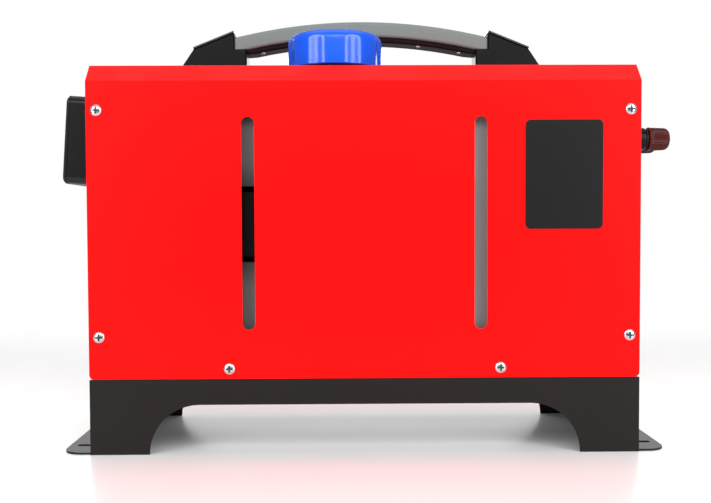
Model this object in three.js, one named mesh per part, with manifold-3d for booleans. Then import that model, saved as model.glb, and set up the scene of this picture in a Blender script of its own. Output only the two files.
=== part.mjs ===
// A portable diesel air heater: a folded steel case on a black base, with the fuel tank, the heater
// and its electrics inside. Millimetres, +Z up, the front faces -Y, the origin is on the floor.
import * as THREE from 'three';
import { mergeVertices } from 'three/addons/utils/BufferGeometryUtils.js';
import Module from 'manifold-3d';

// ---- Driving dimensions -------------------------------------------------------------------------

// Shared clearances
const seat = 0.3;
const freePlay = 0.8;

// Case
const caseWidth = 390;
const caseDepth = 140;
const caseTop = 276;
const foldSize = 12.5;
const coverSheet = 1.2;
const coverReturn = 8;
const coverLap = 7.5;
const coverCorner = 3.5;

// Base
const baseHeight = 53.4;
const baseSheet = 1.5;
const archWidth = 306;
const archHeight = 35.3;
const footReach = 21;
const footCorner = 14;
const footTab = 24;
const footSlotLength = 11.2;
const footSlotWidth = 6;
const footSlotFromEdge = 5.3;
const footSlotFromFront = 25;

// Cover screws
const screwHole = 4.4;
const sideScrewInset = 7.5;
const sideScrewLow = 30;
const sideScrewHigh = 33;
const bottomScrewHalfSpan = 96;
const bottomScrewRise = 7.3;

// Sight slots
const slotHalfSpan = 82;
const slotWidth = 9;
const slotRise = 35.1;
const slotDrop = 37.7;

// Plate on the front, left bare
const plateWidth = 54.7;
const plateHeight = 76.7;
const plateFromSide = 54.35;
const plateFromTop = 78.65;
const plateCorner = 3.5;
const plateThickness = 0.5;

// End panels
const flangeWidth = 13;
const airAxisY = 0;

// Hot air outlet
const outletRadius = 37.5;
const outletWall = 2;
const outletReach = 8;
const outletFlange = 9;
const outletInside = 12;
const outletFlangeThickness = 2;

// Air inlet louvres in the right end panel
const inletRingRadii = [17, 32];
const inletRingSlots = [6, 10];
const inletSlotWidth = 7;
const inletBridge = 5;

// Fuel tank
const tankLeftGap = 20.3;
const tankRightGap = 67.3;
const tankHalfDepth = 62;
const tankHeadroom = 11.3;
const tankWall = 3;
const tankCorner = 12;
const saddleSideGap = 5;
const saddleTopGap = 4;
const windowGap = 4;
const windowLeft = -140;
const windowRight = 81;

// Filler and its cap
const fillerX = -20.7;
const fillerFromFlange = 1.7;
const neckRadius = 24;
const neckBore = 20;
const capRadius = 35;
const capHeight = 27;
const capAboveDeck = 3.6;
const capThreadGap = 2;
const capGrooves = 8;
const capGrooveRadius = 14;
const capGrooveDepth = 1;
const capShoulder = 7;
const capDome = 1.6;
const capRoof = 4.5;
const gasketThickness = 1.8;
const grommetWall = 2.5;
const grommetLip = 2;
const fittingReach = 14;

// Handle
const handleRearward = 36;
const handleDepth = 26;
const bracketFoot = 150;
const bracketBend = 133;
const bracketBendRise = 27.6;
const bracketPeak = 101.8;
const bracketPeakRise = 40.2;
const bracketInner = 91;
const bracketStepRise = 27.2;
const bracketFootPlate = 4;
const bracketNose = 1.3;
const bracketBevel = 1.5;
const bracketCheek = 2;
const gripHalfLength = 110;
const gripArcRadius = 422.6;
const gripRise = 48.9;
const gripThickness = 10.6;
const gripRound = 2.5;
const stripThickness = 6;
const stripHalfLength = 90;
const stripDepth = 20;

// Controller on the left end
const controllerFront = -35.6;
const controllerWidth = 95;
const controllerDrop = 82.4;
const controllerHeight = 65;
const controllerThickness = 22;
const controllerReach = 26;
const controllerTilt = 0.066;
const controllerCorner = 6;
const bezelDepth = 3;
const seamWidth = 0.6;
const seamDepth = 0.5;
const holderThickness = 1.6;
const holderBelow = 4.2;
const holderAbove = 3.4;
const holderReach = 6.6;
const windowWidth = 60;
const windowHeight = 27;
const windowDepth = 1.4;
const paneLow = -3;
const buttonRadius = 4.6;
const buttonPitch = 16.5;
const buttonProud = 1.2;
const buttonTravel = 0.8;
const buttonRowZ = -17;
const buttonBoreDepth = 5;
const buttonNames = ['power', 'menu', 'up', 'down', 'confirm'];

// Binding posts on the right end
const postDrop = 52.2;
const postFrontY = -45;
const postPitch = 30;
const postCollarRadius = 8.2;
const postCollarLength = 10.8;
const postWasherRadius = 7;
const postWasherThickness = 1.2;
const postStudRadius = 3;
const postStudInside = 12;
const knobRadius = 8.6;
const knobLength = 15.6;
const knobRibs = 12;
const knobRibDepth = 0.8;
const knobBore = 12;

// Mains inlet with its switch
const mainsY = 36;
const mainsDrop = 60;
const mainsWidth = 30;
const mainsHeight = 52;
const mainsFlange = 2.5;
const mainsBodyDepth = 26;
const socketWidth = 24;
const socketHeight = 16.5;
const socketDepth = 16;
const socketFromCentre = -12;
const pinBelowFace = 6.5;
const pinPitch = 7;
const rockerFromCentre = 14;
const rockerWidth = 19;
const rockerHeight = 13;
const rockerTilt = 0.16;
const rockerWellDepth = 11;
const rockerPivotDepth = 4;
const rockerRootDepth = 5;
const rockerFace = 5;
const rockerDish = 1.5;

// Heater
const heaterRightGap = 58.3;
const heaterSideGap = 5.5;
const heaterRise = 8.6;
const heaterHeight = 128;
const heaterCorner = 26;
const heaterWall = 2.5;
const bulgeReach = 13;
const bulgeLeft = -120;
const bulgeRight = 66;
const bulgeDrop = 4;
const bulgeHeight = 46;
const bulgeCorner = 16;
const unitDepth = 7;
const casingFoot = 6;
const casingFootPitch = 62;
const exchangerRadius = 26;
const exchangerFin = 11;
const exchangerLeft = -146;
const exchangerRight = 6;
const exchangerFins = 16;
const finThickness = 1.6;
const exchangerWall = 4;
const finSetback = 12;
const burnerRadius = 18;
const burnerLength = 96;
const burnerWall = 1.8;
const burnerFlange = 8;
const burnerHoles = 4;
const burnerHolePitch = 19;
const burnerHole = 2.2;
const plateOfBurner = 6;
const motorRadius = 22;
const motorLength = 38;
const motorLeft = 46;
const shaftRadius = 3;
const hotFanRadius = 38;
const hotFanLength = 22;
const hotFanBlades = 9;
const hotFanHub = 15;
const hotFanTwist = 0.7;
const fanSetback = 8;
const runningGap = 1;
const burnFanRadius = 30;
const burnFanLength = 12;
const burnFanBlades = 9;
const bladeCurve = 18;
const housingWall = 3;
const footOfHousing = 12;
const plugRadius = 5;
const plugLength = 26;
const plugFromFlange = 6;

// Pipes, fuel parts and electrics
const exhaustX = -60;
const intakeX = 22;
const pipeBore = 10;
const pipeWall = 1.5;
const pipeBelowBase = 23.4;
const pipeFlange = 6;
const pumpRadius = 11.5;
const pumpLength = 44;
const pumpFromEnd = 32.3;
const pumpY = -20;
const pumpRise = 8;
const lineRadius = 2.4;
const lineHoleX = 78;
const lineHoleY = 20;
const lineHoleGap = 3.4;
const lineOffset = 5.3;
const supplyFromEnd = 7.3;
const supplyWidth = 55;
const supplyFront = -52;
const supplyRear = 16;
const supplyHeight = 34;
const supplyFins = 9;

// ---- Colours ------------------------------------------------------------------------------------

const finish = (colour, roughness, metalness = 0) =>
  new THREE.MeshStandardMaterial({ color: colour, roughness, metalness });
const redPaint = finish(0xe8130f, 0.35);
const blackPaint = finish(0x2b2726, 0.5);
const blackPlastic = finish(0x1c1c1d, 0.45);
const greyPlastic = finish(0x918f8d, 0.4);
const bluePlastic = finish(0x1560f0, 0.25);
const maroonPlastic = finish(0x55211f, 0.35);
const tankPlastic = finish(0xb9bcb6, 0.55);
const darkGlass = finish(0x1a2426, 0.1);
const buttonRubber = finish(0x3c3e40, 0.6);
const sealRubber = finish(0x131313, 0.8);
const steel = finish(0xb8babd, 0.3, 1);
const castAlloy = finish(0x9a9c9e, 0.5, 1);
const plateBlack = finish(0x202020, 0.4);

// ---- Solids -------------------------------------------------------------------------------------

const wasm = await Module();
wasm.setup();

// Turn a closed geometry into a solid that can be joined and cut.
function solidOf(geometry) {
  const bare = geometry.clone();
  bare.deleteAttribute('normal');
  bare.deleteAttribute('uv');
  const merged = mergeVertices(bare, 1e-4);
  const corners = merged.index.array;
  const kept = [];
  for (let i = 0; i < corners.length; i += 3) {
    const [a, b, c] = corners.slice(i, i + 3);
    if (a !== b && b !== c && c !== a) kept.push(a, b, c);
  }
  return new wasm.Manifold(new wasm.Mesh({
    numProp: 3,
    vertProperties: new Float32Array(merged.attributes.position.array),
    triVerts: new Uint32Array(kept),
  }));
}

function geometryOf(solid) {
  const mesh = solid.getMesh();
  const geometry = new THREE.BufferGeometry();
  geometry.setAttribute('position', new THREE.BufferAttribute(mesh.vertProperties, 3));
  geometry.setIndex(new THREE.BufferAttribute(mesh.triVerts, 1));
  geometry.computeVertexNormals();
  return geometry;
}

const join = (first, ...rest) => rest.reduce((whole, next) => whole.add(next), first);
const cut = (first, ...rest) => rest.reduce((whole, next) => whole.subtract(next), first);

// A box between two corners.
function block(x, y, z) {
  const geometry = new THREE.BoxGeometry(x[1] - x[0], y[1] - y[0], z[1] - z[0]);
  geometry.translate((x[0] + x[1]) / 2, (y[0] + y[1]) / 2, (z[0] + z[1]) / 2);
  return solidOf(geometry);
}

// Stand a shape drawn in (x, y), (x, z) or (y, z) along the third axis, from one place to another.
const uprights = {
  z: new THREE.Matrix4(),
  y: new THREE.Matrix4().set(1, 0, 0, 0, 0, 0, -1, 0, 0, 1, 0, 0, 0, 0, 0, 1),
  x: new THREE.Matrix4().set(0, 0, 1, 0, 1, 0, 0, 0, 0, 1, 0, 0, 0, 0, 0, 1),
};

function prism(shape, axis, from, to, curveSegments = 6) {
  const geometry = new THREE.ExtrudeGeometry(shape, {
    depth: to - from, bevelEnabled: false, curveSegments,
  });
  geometry.translate(0, 0, axis === 'y' ? -to : from);
  geometry.applyMatrix4(uprights[axis]);
  return solidOf(geometry);
}

// The same, with its two end faces' edges bevelled.
function softPrism(shape, axis, from, to, bevel, curveSegments = 6) {
  const geometry = new THREE.ExtrudeGeometry(shape, {
    depth: to - from - 2 * bevel, bevelThickness: bevel, bevelSize: bevel, bevelOffset: -bevel,
    bevelSegments: 1, curveSegments,
  });
  geometry.translate(0, 0, axis === 'y' ? bevel - to : from + bevel);
  geometry.applyMatrix4(uprights[axis]);
  return solidOf(geometry);
}

function polygon(points) {
  return new THREE.Shape(points.map(([u, v]) => new THREE.Vector2(u, v)));
}

// A rounded rectangle between two corners.
function roundedRect(u, v, radius) {
  const [left, right] = u;
  const [low, high] = v;
  const shape = new THREE.Shape();
  shape.moveTo(left + radius, low);
  shape.lineTo(right - radius, low);
  shape.absarc(right - radius, low + radius, radius, -Math.PI / 2, 0, false);
  shape.lineTo(right, high - radius);
  shape.absarc(right - radius, high - radius, radius, 0, Math.PI / 2, false);
  shape.lineTo(left + radius, high);
  shape.absarc(left + radius, high - radius, radius, Math.PI / 2, Math.PI, false);
  shape.lineTo(left, low + radius);
  shape.absarc(left + radius, low + radius, radius, Math.PI, 1.5 * Math.PI, false);
  return shape;
}

function circle(u, v, radius) {
  const shape = new THREE.Shape();
  shape.absarc(u, v, radius, 0, 2 * Math.PI, false);
  return shape;
}

// A round bar along an axis through (u, v).
function bar(axis, u, v, radius, from, to, curveSegments = 12) {
  return prism(circle(u, v, radius), axis, from, to, curveSegments);
}

// A turned form: the profile is [radius, height] pairs, round a Z axis through (x, y).
function turned(profile, x = 0, y = 0, segments = 32) {
  const points = profile.map(([radius, height]) => new THREE.Vector2(radius, height));
  const geometry = new THREE.LatheGeometry(points, segments);
  geometry.rotateX(Math.PI / 2);
  geometry.translate(x, y, 0);
  return solidOf(geometry);
}

// The same, round an X axis through (y, z), with heights along +X.
function turnedAlongX(profile, y, z, segments = 32) {
  const points = profile.map(([radius, height]) => new THREE.Vector2(radius, height));
  const geometry = new THREE.LatheGeometry(points, segments);
  geometry.rotateZ(-Math.PI / 2);
  geometry.translate(0, y, z);
  return solidOf(geometry);
}

// The outline of a sheet folded along a line of points, with its thickness to the line's right.
function foldedSheet(line, thickness) {
  const right = line.slice(1).map(([u, v], i) => {
    const du = u - line[i][0];
    const dv = v - line[i][1];
    const length = Math.hypot(du, dv);
    return [dv / length, -du / length];
  });
  const inner = line.map(([u, v], i) => {
    const before = right[Math.max(i - 1, 0)];
    const after = right[Math.min(i, right.length - 1)];
    const share = thickness / (1 + before[0] * after[0] + before[1] * after[1]);
    return [u + share * (before[0] + after[0]), v + share * (before[1] + after[1])];
  });
  return polygon([...line, ...inner.reverse()]);
}

const mirrorX = (solid) => solid.mirror([1, 0, 0]);

function piece(name, solid, material) {
  const mesh = new THREE.Mesh(geometryOf(solid), material);
  mesh.name = name;
  return mesh;
}

// ---- Places worked out from the driving dimensions ----------------------------------------------

const halfWidth = caseWidth / 2;
const halfDepth = caseDepth / 2;
const coverLow = baseHeight + seat;
const foldZ = caseTop - foldSize;
const foldY = halfDepth - foldSize;
const deckTop = caseTop - coverSheet - seat;
const deckLow = deckTop - coverSheet;
const panelFace = halfWidth - coverSheet - seat;
const panelInner = panelFace - coverSheet;
const panelFront = halfDepth - coverSheet - seat;
const panelLow = coverLow + coverSheet + seat;
const grommetRadius = neckRadius + seat + 2 * grommetWall;
const fillerY = coverLap - foldY + grommetRadius + fillerFromFlange;
const slotBottom = baseHeight + slotRise;
const slotTop = caseTop - slotDrop;
const plateCentreX = halfWidth - plateFromSide;
const plateCentreZ = caseTop - plateFromTop;
const heaterRight = panelInner - heaterRightGap;
const heaterHalfDepth = outletRadius + heaterSideGap;
const heaterLow = baseHeight + heaterRise;
const heaterHigh = heaterLow + heaterHeight;
const airAxisZ = (heaterLow + heaterHigh) / 2;
const bulgeHigh = heaterHigh - bulgeDrop;
const bulgeLow = bulgeHigh - bulgeHeight;
const postZ = caseTop - postDrop;
const mainsZ = caseTop - mainsDrop;
const screwPlaces = [
  ...[-1, 1].flatMap((side) => [
    [side * (halfWidth - sideScrewInset), coverLow + sideScrewLow],
    [side * (halfWidth - sideScrewInset), caseTop - sideScrewHigh],
  ]),
  [-bottomScrewHalfSpan, coverLow + bottomScrewRise],
  [bottomScrewHalfSpan, coverLow + bottomScrewRise],
];

// ---- Case ---------------------------------------------------------------------------------------

// Front cover: a face, a 45 degree fold, a narrow top flange, and returns at the sides and bottom.
function coverSolid() {
  const foldLine = [
    [-halfDepth + coverReturn, coverLow],
    [-halfDepth, coverLow],
    [-halfDepth, foldZ],
    [-foldY, caseTop],
    [-foldY + coverLap, caseTop],
  ];
  const sheet = prism(foldedSheet(foldLine, coverSheet), 'x', -halfWidth, halfWidth);
  const returnSheet = block(
    [halfWidth - coverSheet, halfWidth], [-halfDepth, -halfDepth + coverReturn], [coverLow, foldZ],
  );
  const outline = roundedRect([-halfWidth, halfWidth], [coverLow, caseTop + coverCorner], coverCorner);
  const trim = prism(outline, 'y', -halfDepth - 1, halfDepth, 4);
  const screws = screwPlaces.map(([x, z]) => bar(
    'y', x, z, screwHole / 2, -halfDepth - 1, -halfDepth + coverSheet + 1, 4,
  ));
  return cut(join(sheet, returnSheet, mirrorX(returnSheet)).intersect(trim), ...screws);
}

function frontCover() {
  const slots = [-slotHalfSpan, slotHalfSpan].map((x) => prism(
    roundedRect([x - slotWidth / 2, x + slotWidth / 2], [slotBottom, slotTop], slotWidth / 2 - 0.01),
    'y', -halfDepth - 1, -halfDepth + coverSheet + 1, 4,
  ));
  return piece('front_cover', cut(coverSolid(), ...slots), redPaint);
}

function rearCover() {
  return piece('rear_cover', coverSolid().mirror([0, 1, 0]), redPaint);
}

// The top deck lies under both covers' flanges, with its ends folded down over the end panels.
function topDeck() {
  const endFold = foldSize - coverSheet;
  const line = [
    [-halfWidth, deckTop - endFold], [-halfWidth, deckTop], [halfWidth, deckTop],
    [halfWidth, deckTop - endFold],
  ];
  const deckDepth = foldY - seat - coverSheet;
  const sheet = prism(foldedSheet(line, coverSheet), 'y', -deckDepth, deckDepth);
  const fillerHole = bar(
    'z', fillerX, fillerY, neckRadius + seat + grommetWall + seat, deckLow - 1, deckTop + 1, 16,
  );
  return piece('top_deck', cut(sheet, fillerHole), redPaint);
}

// The fold line of an end panel in plan, and its outline under the covers' folds.
function endPanelSolid(side) {
  const planLine = [
    [panelFace - flangeWidth, panelFront], [panelFace, panelFront],
    [panelFace, -panelFront], [panelFace - flangeWidth, -panelFront],
  ];
  const flanged = prism(foldedSheet(planLine, coverSheet), 'z', panelLow, foldZ - coverSheet);
  const cheek = coverSheet + seat;
  const outline = polygon([
    [-panelFront, panelLow], [panelFront, panelLow], [panelFront, foldZ - cheek],
    [foldY - cheek, deckLow - seat], [-foldY + cheek, deckLow - seat], [-panelFront, foldZ - cheek],
  ]);
  const plate = prism(outline, 'x', panelInner, panelFace);
  const screws = screwPlaces.filter(([x]) => x > bottomScrewHalfSpan).flatMap(([x, z]) => [-1, 1].map(
    (face) => bar('y', x, z, screwHole / 2 - 0.4, ...face < 0
      ? [-panelFront - 1, -panelFront + coverSheet + 1]
      : [panelFront - coverSheet - 1, panelFront + 1], 4),
  ));
  const panel = cut(join(plate, flanged), ...screws);
  return side < 0 ? mirrorX(panel) : panel;
}

function leftEndPanel() {
  const outletHole = bar(
    'x', airAxisY, airAxisZ, outletRadius + seat, -panelFace - 1, -panelInner + 1, 16,
  );
  return piece('left_end_panel', cut(endPanelSolid(-1), outletHole), redPaint);
}

// A slot bent round the inlet's centre, drawn in (y, z).
function bentSlot(radius, start, sweep) {
  const inner = radius - inletSlotWidth / 2;
  const outer = radius + inletSlotWidth / 2;
  const shape = new THREE.Shape();
  shape.absarc(airAxisY, airAxisZ, outer, start, start + sweep, false);
  shape.absarc(airAxisY, airAxisZ, inner, start + sweep, start, true);
  return shape;
}

// The cold air comes in through rings of bent slots round a blank middle.
function rightEndPanel() {
  const slots = inletRingRadii.flatMap((radius, ring) => {
    const count = inletRingSlots[ring];
    const pitch = 2 * Math.PI / count;
    const sweep = pitch - inletBridge / radius;
    return Array.from({ length: count }, (_, i) => prism(
      bentSlot(radius, i * pitch, sweep), 'x', panelInner - 1, panelFace + 1, 2,
    ));
  });
  const postHoles = [0, 1].map((i) => bar(
    'x', postFrontY + i * postPitch, postZ, postStudRadius + seat, panelInner - 1, panelFace + 1, 6,
  ));
  const [halfY, halfZ] = [mainsWidth / 2 - 2, mainsHeight / 2 - 2];
  const mainsHole = block(
    [panelInner - 1, panelFace + 1], [mainsY - halfY, mainsY + halfY], [mainsZ - halfZ, mainsZ + halfZ],
  );
  return piece('right_end_panel', cut(endPanelSolid(1), ...slots, ...postHoles, mainsHole), redPaint);
}

// ---- Base ---------------------------------------------------------------------------------------

// One bent sheet: a plate with two skirts, each cut to an arch between its legs.
function baseTray() {
  const line = [
    [-halfDepth, 0], [-halfDepth, baseHeight], [halfDepth, baseHeight], [halfDepth, 0],
  ];
  const tray = prism(foldedSheet(line, baseSheet), 'x', -halfWidth, halfWidth);
  const halfArch = archWidth / 2;
  const arch = new THREE.Shape();
  arch.moveTo(-halfArch, -1);
  arch.lineTo(halfArch, -1);
  arch.lineTo(halfArch, 0);
  arch.absarc(halfArch - archHeight, 0, archHeight, 0, Math.PI / 2, false);
  arch.absarc(-halfArch + archHeight, 0, archHeight, Math.PI / 2, Math.PI, false);
  const opening = prism(arch, 'y', -halfDepth - 1, halfDepth + 1, 6);
  const pipeHoles = [exhaustX, intakeX].map((x) => bar(
    'z', x, airAxisY, pipeBore + pipeWall + seat, baseHeight - baseSheet - 1, baseHeight + 1, 8,
  ));
  return piece('base_tray', cut(tray, opening, ...pipeHoles), blackPaint);
}

// A foot: a tab under the base plate, a wall closing the end, and a flange to screw down.
function footSolid() {
  const tabTop = baseHeight - baseSheet - seat;
  const line = [
    [halfWidth - footTab, tabTop], [halfWidth, tabTop], [halfWidth, baseSheet],
    [halfWidth + footReach, baseSheet],
  ];
  const reach = halfDepth - baseSheet - seat;
  const sheet = prism(foldedSheet(line, baseSheet), 'y', -reach, reach);
  const plan = roundedRect(
    [halfWidth - 2 * footReach - footCorner, halfWidth + footReach], [-reach, reach], footCorner,
  );
  const slotEnd = halfWidth + footReach - footSlotFromEdge;
  const slots = [-1, 1].map((end) => {
    const y = end * (halfDepth - footSlotFromFront);
    return prism(roundedRect(
      [slotEnd - footSlotLength, slotEnd], [y - footSlotWidth / 2, y + footSlotWidth / 2],
      footSlotWidth / 2 - 0.01,
    ), 'z', -1, baseSheet + 1, 3);
  });
  return cut(sheet.intersect(prism(plan, 'z', -1, baseHeight, 5)), ...slots);
}

function feet() {
  return [
    piece('left_foot', mirrorX(footSolid()), blackPaint),
    piece('right_foot', footSolid(), blackPaint),
  ];
}

// The blank plate on the front.
function ratingPlate() {
  const shape = roundedRect(
    [plateCentreX - plateWidth / 2, plateCentreX + plateWidth / 2],
    [plateCentreZ - plateHeight / 2, plateCentreZ + plateHeight / 2], plateCorner,
  );
  const back = -halfDepth - seat;
  return piece('rating_plate', prism(shape, 'y', back - plateThickness, back, 3), plateBlack);
}

// ---- Fuel tank, filler and cap ------------------------------------------------------------------

const tankLeft = tankLeftGap - panelInner;
const tankRight = panelInner - tankRightGap;
const tankLow = baseHeight + seat;
const tankTop = deckLow - tankHeadroom;
const saddleHalfDepth = heaterHalfDepth + saddleSideGap;
const saddleTop = heaterHigh + saddleTopGap;
const windowLow = bulgeLow - windowGap;
const windowHigh = bulgeHigh + windowGap;
const capLow = deckTop + capAboveDeck;
const capTop = capLow + capHeight;
const neckTop = capTop - capRoof - gasketThickness - 2 * seat;
const fittingY = -(saddleHalfDepth + tankHalfDepth) / 2;
const fittingZ = tankLow + tankCorner;
const fittingEnd = tankRight + fittingReach;

// A saddle over the heater, drawn in by an inset; its front lobe has a long window.
function tankForm(inset) {
  const long = [tankLeft + inset, tankRight - inset];
  const tall = [tankLow + inset, tankTop - inset];
  const deep = [-tankHalfDepth + inset, tankHalfDepth - inset];
  const corner = tankCorner - inset;
  const across = prism(roundedRect(deep, tall, corner / 2), 'x', ...long, 3);
  const along = prism(roundedRect(long, tall, corner), 'y', ...deep, 4);
  const saddle = prism(roundedRect(
    [-saddleHalfDepth - inset, saddleHalfDepth + inset], [tankLow - tankCorner, saddleTop + inset],
    tankCorner / 2,
  ), 'x', tankLeft - 1, tankRight + 1, 3);
  const windowSide = (windowHigh - windowLow) / 2 + inset - 0.01;
  const window = prism(roundedRect(
    [windowLeft - inset, windowRight + inset], [windowLow - inset, windowHigh + inset], windowSide,
  ), 'y', -tankHalfDepth - 1, -saddleHalfDepth + 1, 6);
  return cut(across.intersect(along), saddle, window);
}

function fuelTank() {
  const neck = bar('z', fillerX, fillerY, neckRadius, tankTop - tankWall, neckTop, 10);
  const neckHole = bar('z', fillerX, fillerY, neckBore, tankTop - 2 * tankWall, neckTop + 1, 10);
  const fitting = bar('x', fittingY, fittingZ, lineRadius, tankRight - tankWall, fittingEnd, 4);
  const fittingHole = bar(
    'x', fittingY, fittingZ, lineRadius / 2, tankRight - 2 * tankWall, fittingEnd + 1, 2,
  );
  const shell = cut(join(tankForm(0), neck, fitting), tankForm(tankWall), neckHole, fittingHole);
  return piece('fuel_tank', shell, tankPlastic);
}

// The rubber ring that closes the deck's hole round the neck.
function fillerGrommet() {
  const inner = neckRadius + seat;
  const outer = inner + grommetWall;
  const top = deckTop + grommetLip;
  const profile = [
    [inner, deckLow - grommetLip], [outer, deckLow - grommetLip], [outer, deckTop + seat],
    [grommetRadius, deckTop + seat], [grommetRadius, top], [inner, top],
    [inner, deckLow - grommetLip],
  ];
  return piece('filler_grommet', turned(profile, fillerX, fillerY, 20), sealRubber);
}

// A screw cap: grooved skirt, round shoulder, slightly domed top, hollow for the neck.
function fillerCap() {
  const arc = Array.from({ length: 5 }, (_, i) => {
    const turn = i * Math.PI / 8;
    return [
      capRadius - capShoulder + capShoulder * Math.cos(turn),
      capTop - capDome - capShoulder + capShoulder * Math.sin(turn),
    ];
  });
  const inner = neckRadius + capThreadGap;
  const profile = [[0, capLow], [capRadius - 1, capLow], [capRadius, capLow + 1], ...arc, [0, capTop]];
  const outside = turned(profile, fillerX, fillerY, 48);
  const inside = bar('z', fillerX, fillerY, inner, capLow - 1, capTop - capRoof, 12);
  const grooves = Array.from({ length: capGrooves }, (_, i) => {
    const turn = 2 * Math.PI * (i + 0.5) / capGrooves;
    const reach = capRadius + capGrooveRadius - capGrooveDepth;
    return bar(
      'z', fillerX + reach * Math.cos(turn), fillerY + reach * Math.sin(turn), capGrooveRadius,
      capLow - 1, capTop - capDome - capShoulder / 2, 14,
    );
  });
  return piece('filler_cap', cut(outside, inside, ...grooves), bluePlastic);
}

function capGasket() {
  const low = neckTop + seat;
  const ring = cut(
    bar('z', fillerX, fillerY, neckRadius, low, low + gasketThickness, 8),
    bar('z', fillerX, fillerY, neckBore, low - 1, low + gasketThickness + 1, 8),
  );
  return piece('cap_gasket', ring, sealRubber);
}

// ---- Carrying handle ----------------------------------------------------------------------------

const handleFront = handleRearward - handleDepth / 2;
const handleRear = handleRearward + handleDepth / 2;
const handleFoot = deckTop + seat;
const gripTop = handleFoot + gripRise;

// A bowed band under the grip's arc, from one depth below the arc's top to another.
function bowedBand(halfLength, above, below) {
  const centreZ = gripTop - gripArcRadius;
  const outer = gripArcRadius - above;
  const inner = gripArcRadius - below;
  const spread = Math.asin(halfLength / outer);
  const shape = new THREE.Shape();
  shape.absarc(0, centreZ, outer, Math.PI / 2 + spread, Math.PI / 2 - spread, true);
  shape.absarc(0, centreZ, inner, Math.PI / 2 - spread, Math.PI / 2 + spread, false);
  return shape;
}

function bracketSolid() {
  const nose = bracketPeak - bracketNose;
  const outline = polygon([
    [bracketInner, 0], [bracketFoot, 0], [bracketFoot - 1, bracketFootPlate],
    [bracketBend, bracketBendRise], [bracketPeak, bracketPeakRise],
    [nose, bracketPeakRise - 2 * bracketNose], [nose, bracketStepRise], [bracketInner, bracketStepRise],
  ].map(([x, rise]) => [x, handleFoot + rise]));
  const block = softPrism(outline, 'y', handleFront, handleRear, bracketBevel);
  const pocket = prism(
    bowedBand(gripHalfLength + seat, -seat, gripThickness + seat), 'y',
    handleFront + bracketCheek, handleRear - bracketCheek, 12,
  );
  return cut(block, pocket);
}

function handle() {
  const gripDepth = [handleFront + bracketCheek + seat, handleRear - bracketCheek - seat];
  const grip = softPrism(bowedBand(gripHalfLength, 0, gripThickness), 'y', ...gripDepth, gripRound, 12);
  const stripInset = (handleDepth - stripDepth) / 2;
  const stripTop = gripThickness + seat;
  const strip = softPrism(
    bowedBand(stripHalfLength, stripTop, stripTop + stripThickness), 'y',
    handleFront + stripInset, handleRear - stripInset, 1, 10,
  );
  return [
    piece('handle_left_bracket', mirrorX(bracketSolid()), blackPlastic),
    piece('handle_right_bracket', bracketSolid(), blackPlastic),
    piece('handle_grip', grip, greyPlastic),
    piece('handle_under_strip', strip, blackPlastic),
  ];
}

// ---- Controller ---------------------------------------------------------------------------------

const controllerLow = caseTop - controllerDrop;

// The holder: a plate on the end panel with a lip above and below the controller.
function controllerHolder() {
  const back = -(panelFace + seat);
  const low = controllerLow - holderBelow;
  const high = controllerLow + controllerHeight + holderAbove;
  const line = [
    [back - holderReach, low], [back, low], [back, high], [back - holderReach, high],
  ];
  const sheet = prism(
    foldedSheet(line.reverse(), holderThickness), 'y', controllerFront,
    controllerFront + controllerWidth,
  );
  return piece('controller_holder', sheet, blackPlastic);
}

// The controller is built with its face towards -X, round the middle of its back.
function controller() {
  const group = new THREE.Group();
  group.position.set(
    -(panelFace + seat), controllerFront + controllerWidth / 2,
    controllerLow + controllerHeight / 2 - controllerReach * controllerTilt,
  );
  group.rotation.y = controllerTilt;
  const halfY = controllerWidth / 2;
  const halfZ = controllerHeight / 2;
  const face = -controllerReach;
  const outline = roundedRect([-halfY, halfY], [-halfZ, halfZ], controllerCorner);
  const block = softPrism(outline, 'x', face, face + controllerThickness, 1.5, 4);
  const seam = cut(...[-seamDepth, seamDepth].map((inset) => prism(roundedRect(
    [-halfY + inset, halfY - inset], [-halfZ + inset, halfZ - inset], controllerCorner - inset,
  ), 'x', face + bezelDepth, face + bezelDepth + seamWidth, 4)));
  const pane = [[-windowWidth / 2, windowWidth / 2], [paneLow, paneLow + windowHeight]];
  const recess = prism(roundedRect(...pane, 2), 'x', face - 1, face + windowDepth, 3);
  const buttonPlaces = buttonNames.map((_, i) => (i - (buttonNames.length - 1) / 2) * buttonPitch);
  const bores = buttonPlaces.map((y) => bar(
    'x', y, buttonRowZ, buttonRadius + seat, face - 1, face + buttonBoreDepth, 4,
  ));
  group.add(piece('controller_body', cut(block, seam, recess, ...bores), blackPlastic));
  const glassOutline = roundedRect(...pane.map(([a, b]) => [a + seat, b - seat]), 2 - seat);
  group.add(piece(
    'controller_window', prism(glassOutline, 'x', face + seat, face + windowDepth - seat, 3), darkGlass,
  ));
  buttonNames.forEach((name, i) => {
    const key = softPrism(
      circle(buttonPlaces[i], buttonRowZ, buttonRadius), 'x', face - buttonProud,
      face + buttonBoreDepth - buttonTravel - freePlay, 0.5, 4,
    );
    group.add(piece(`button_${name}`, key, buttonRubber));
  });
  return group;
}

// ---- Binding posts ------------------------------------------------------------------------------

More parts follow.
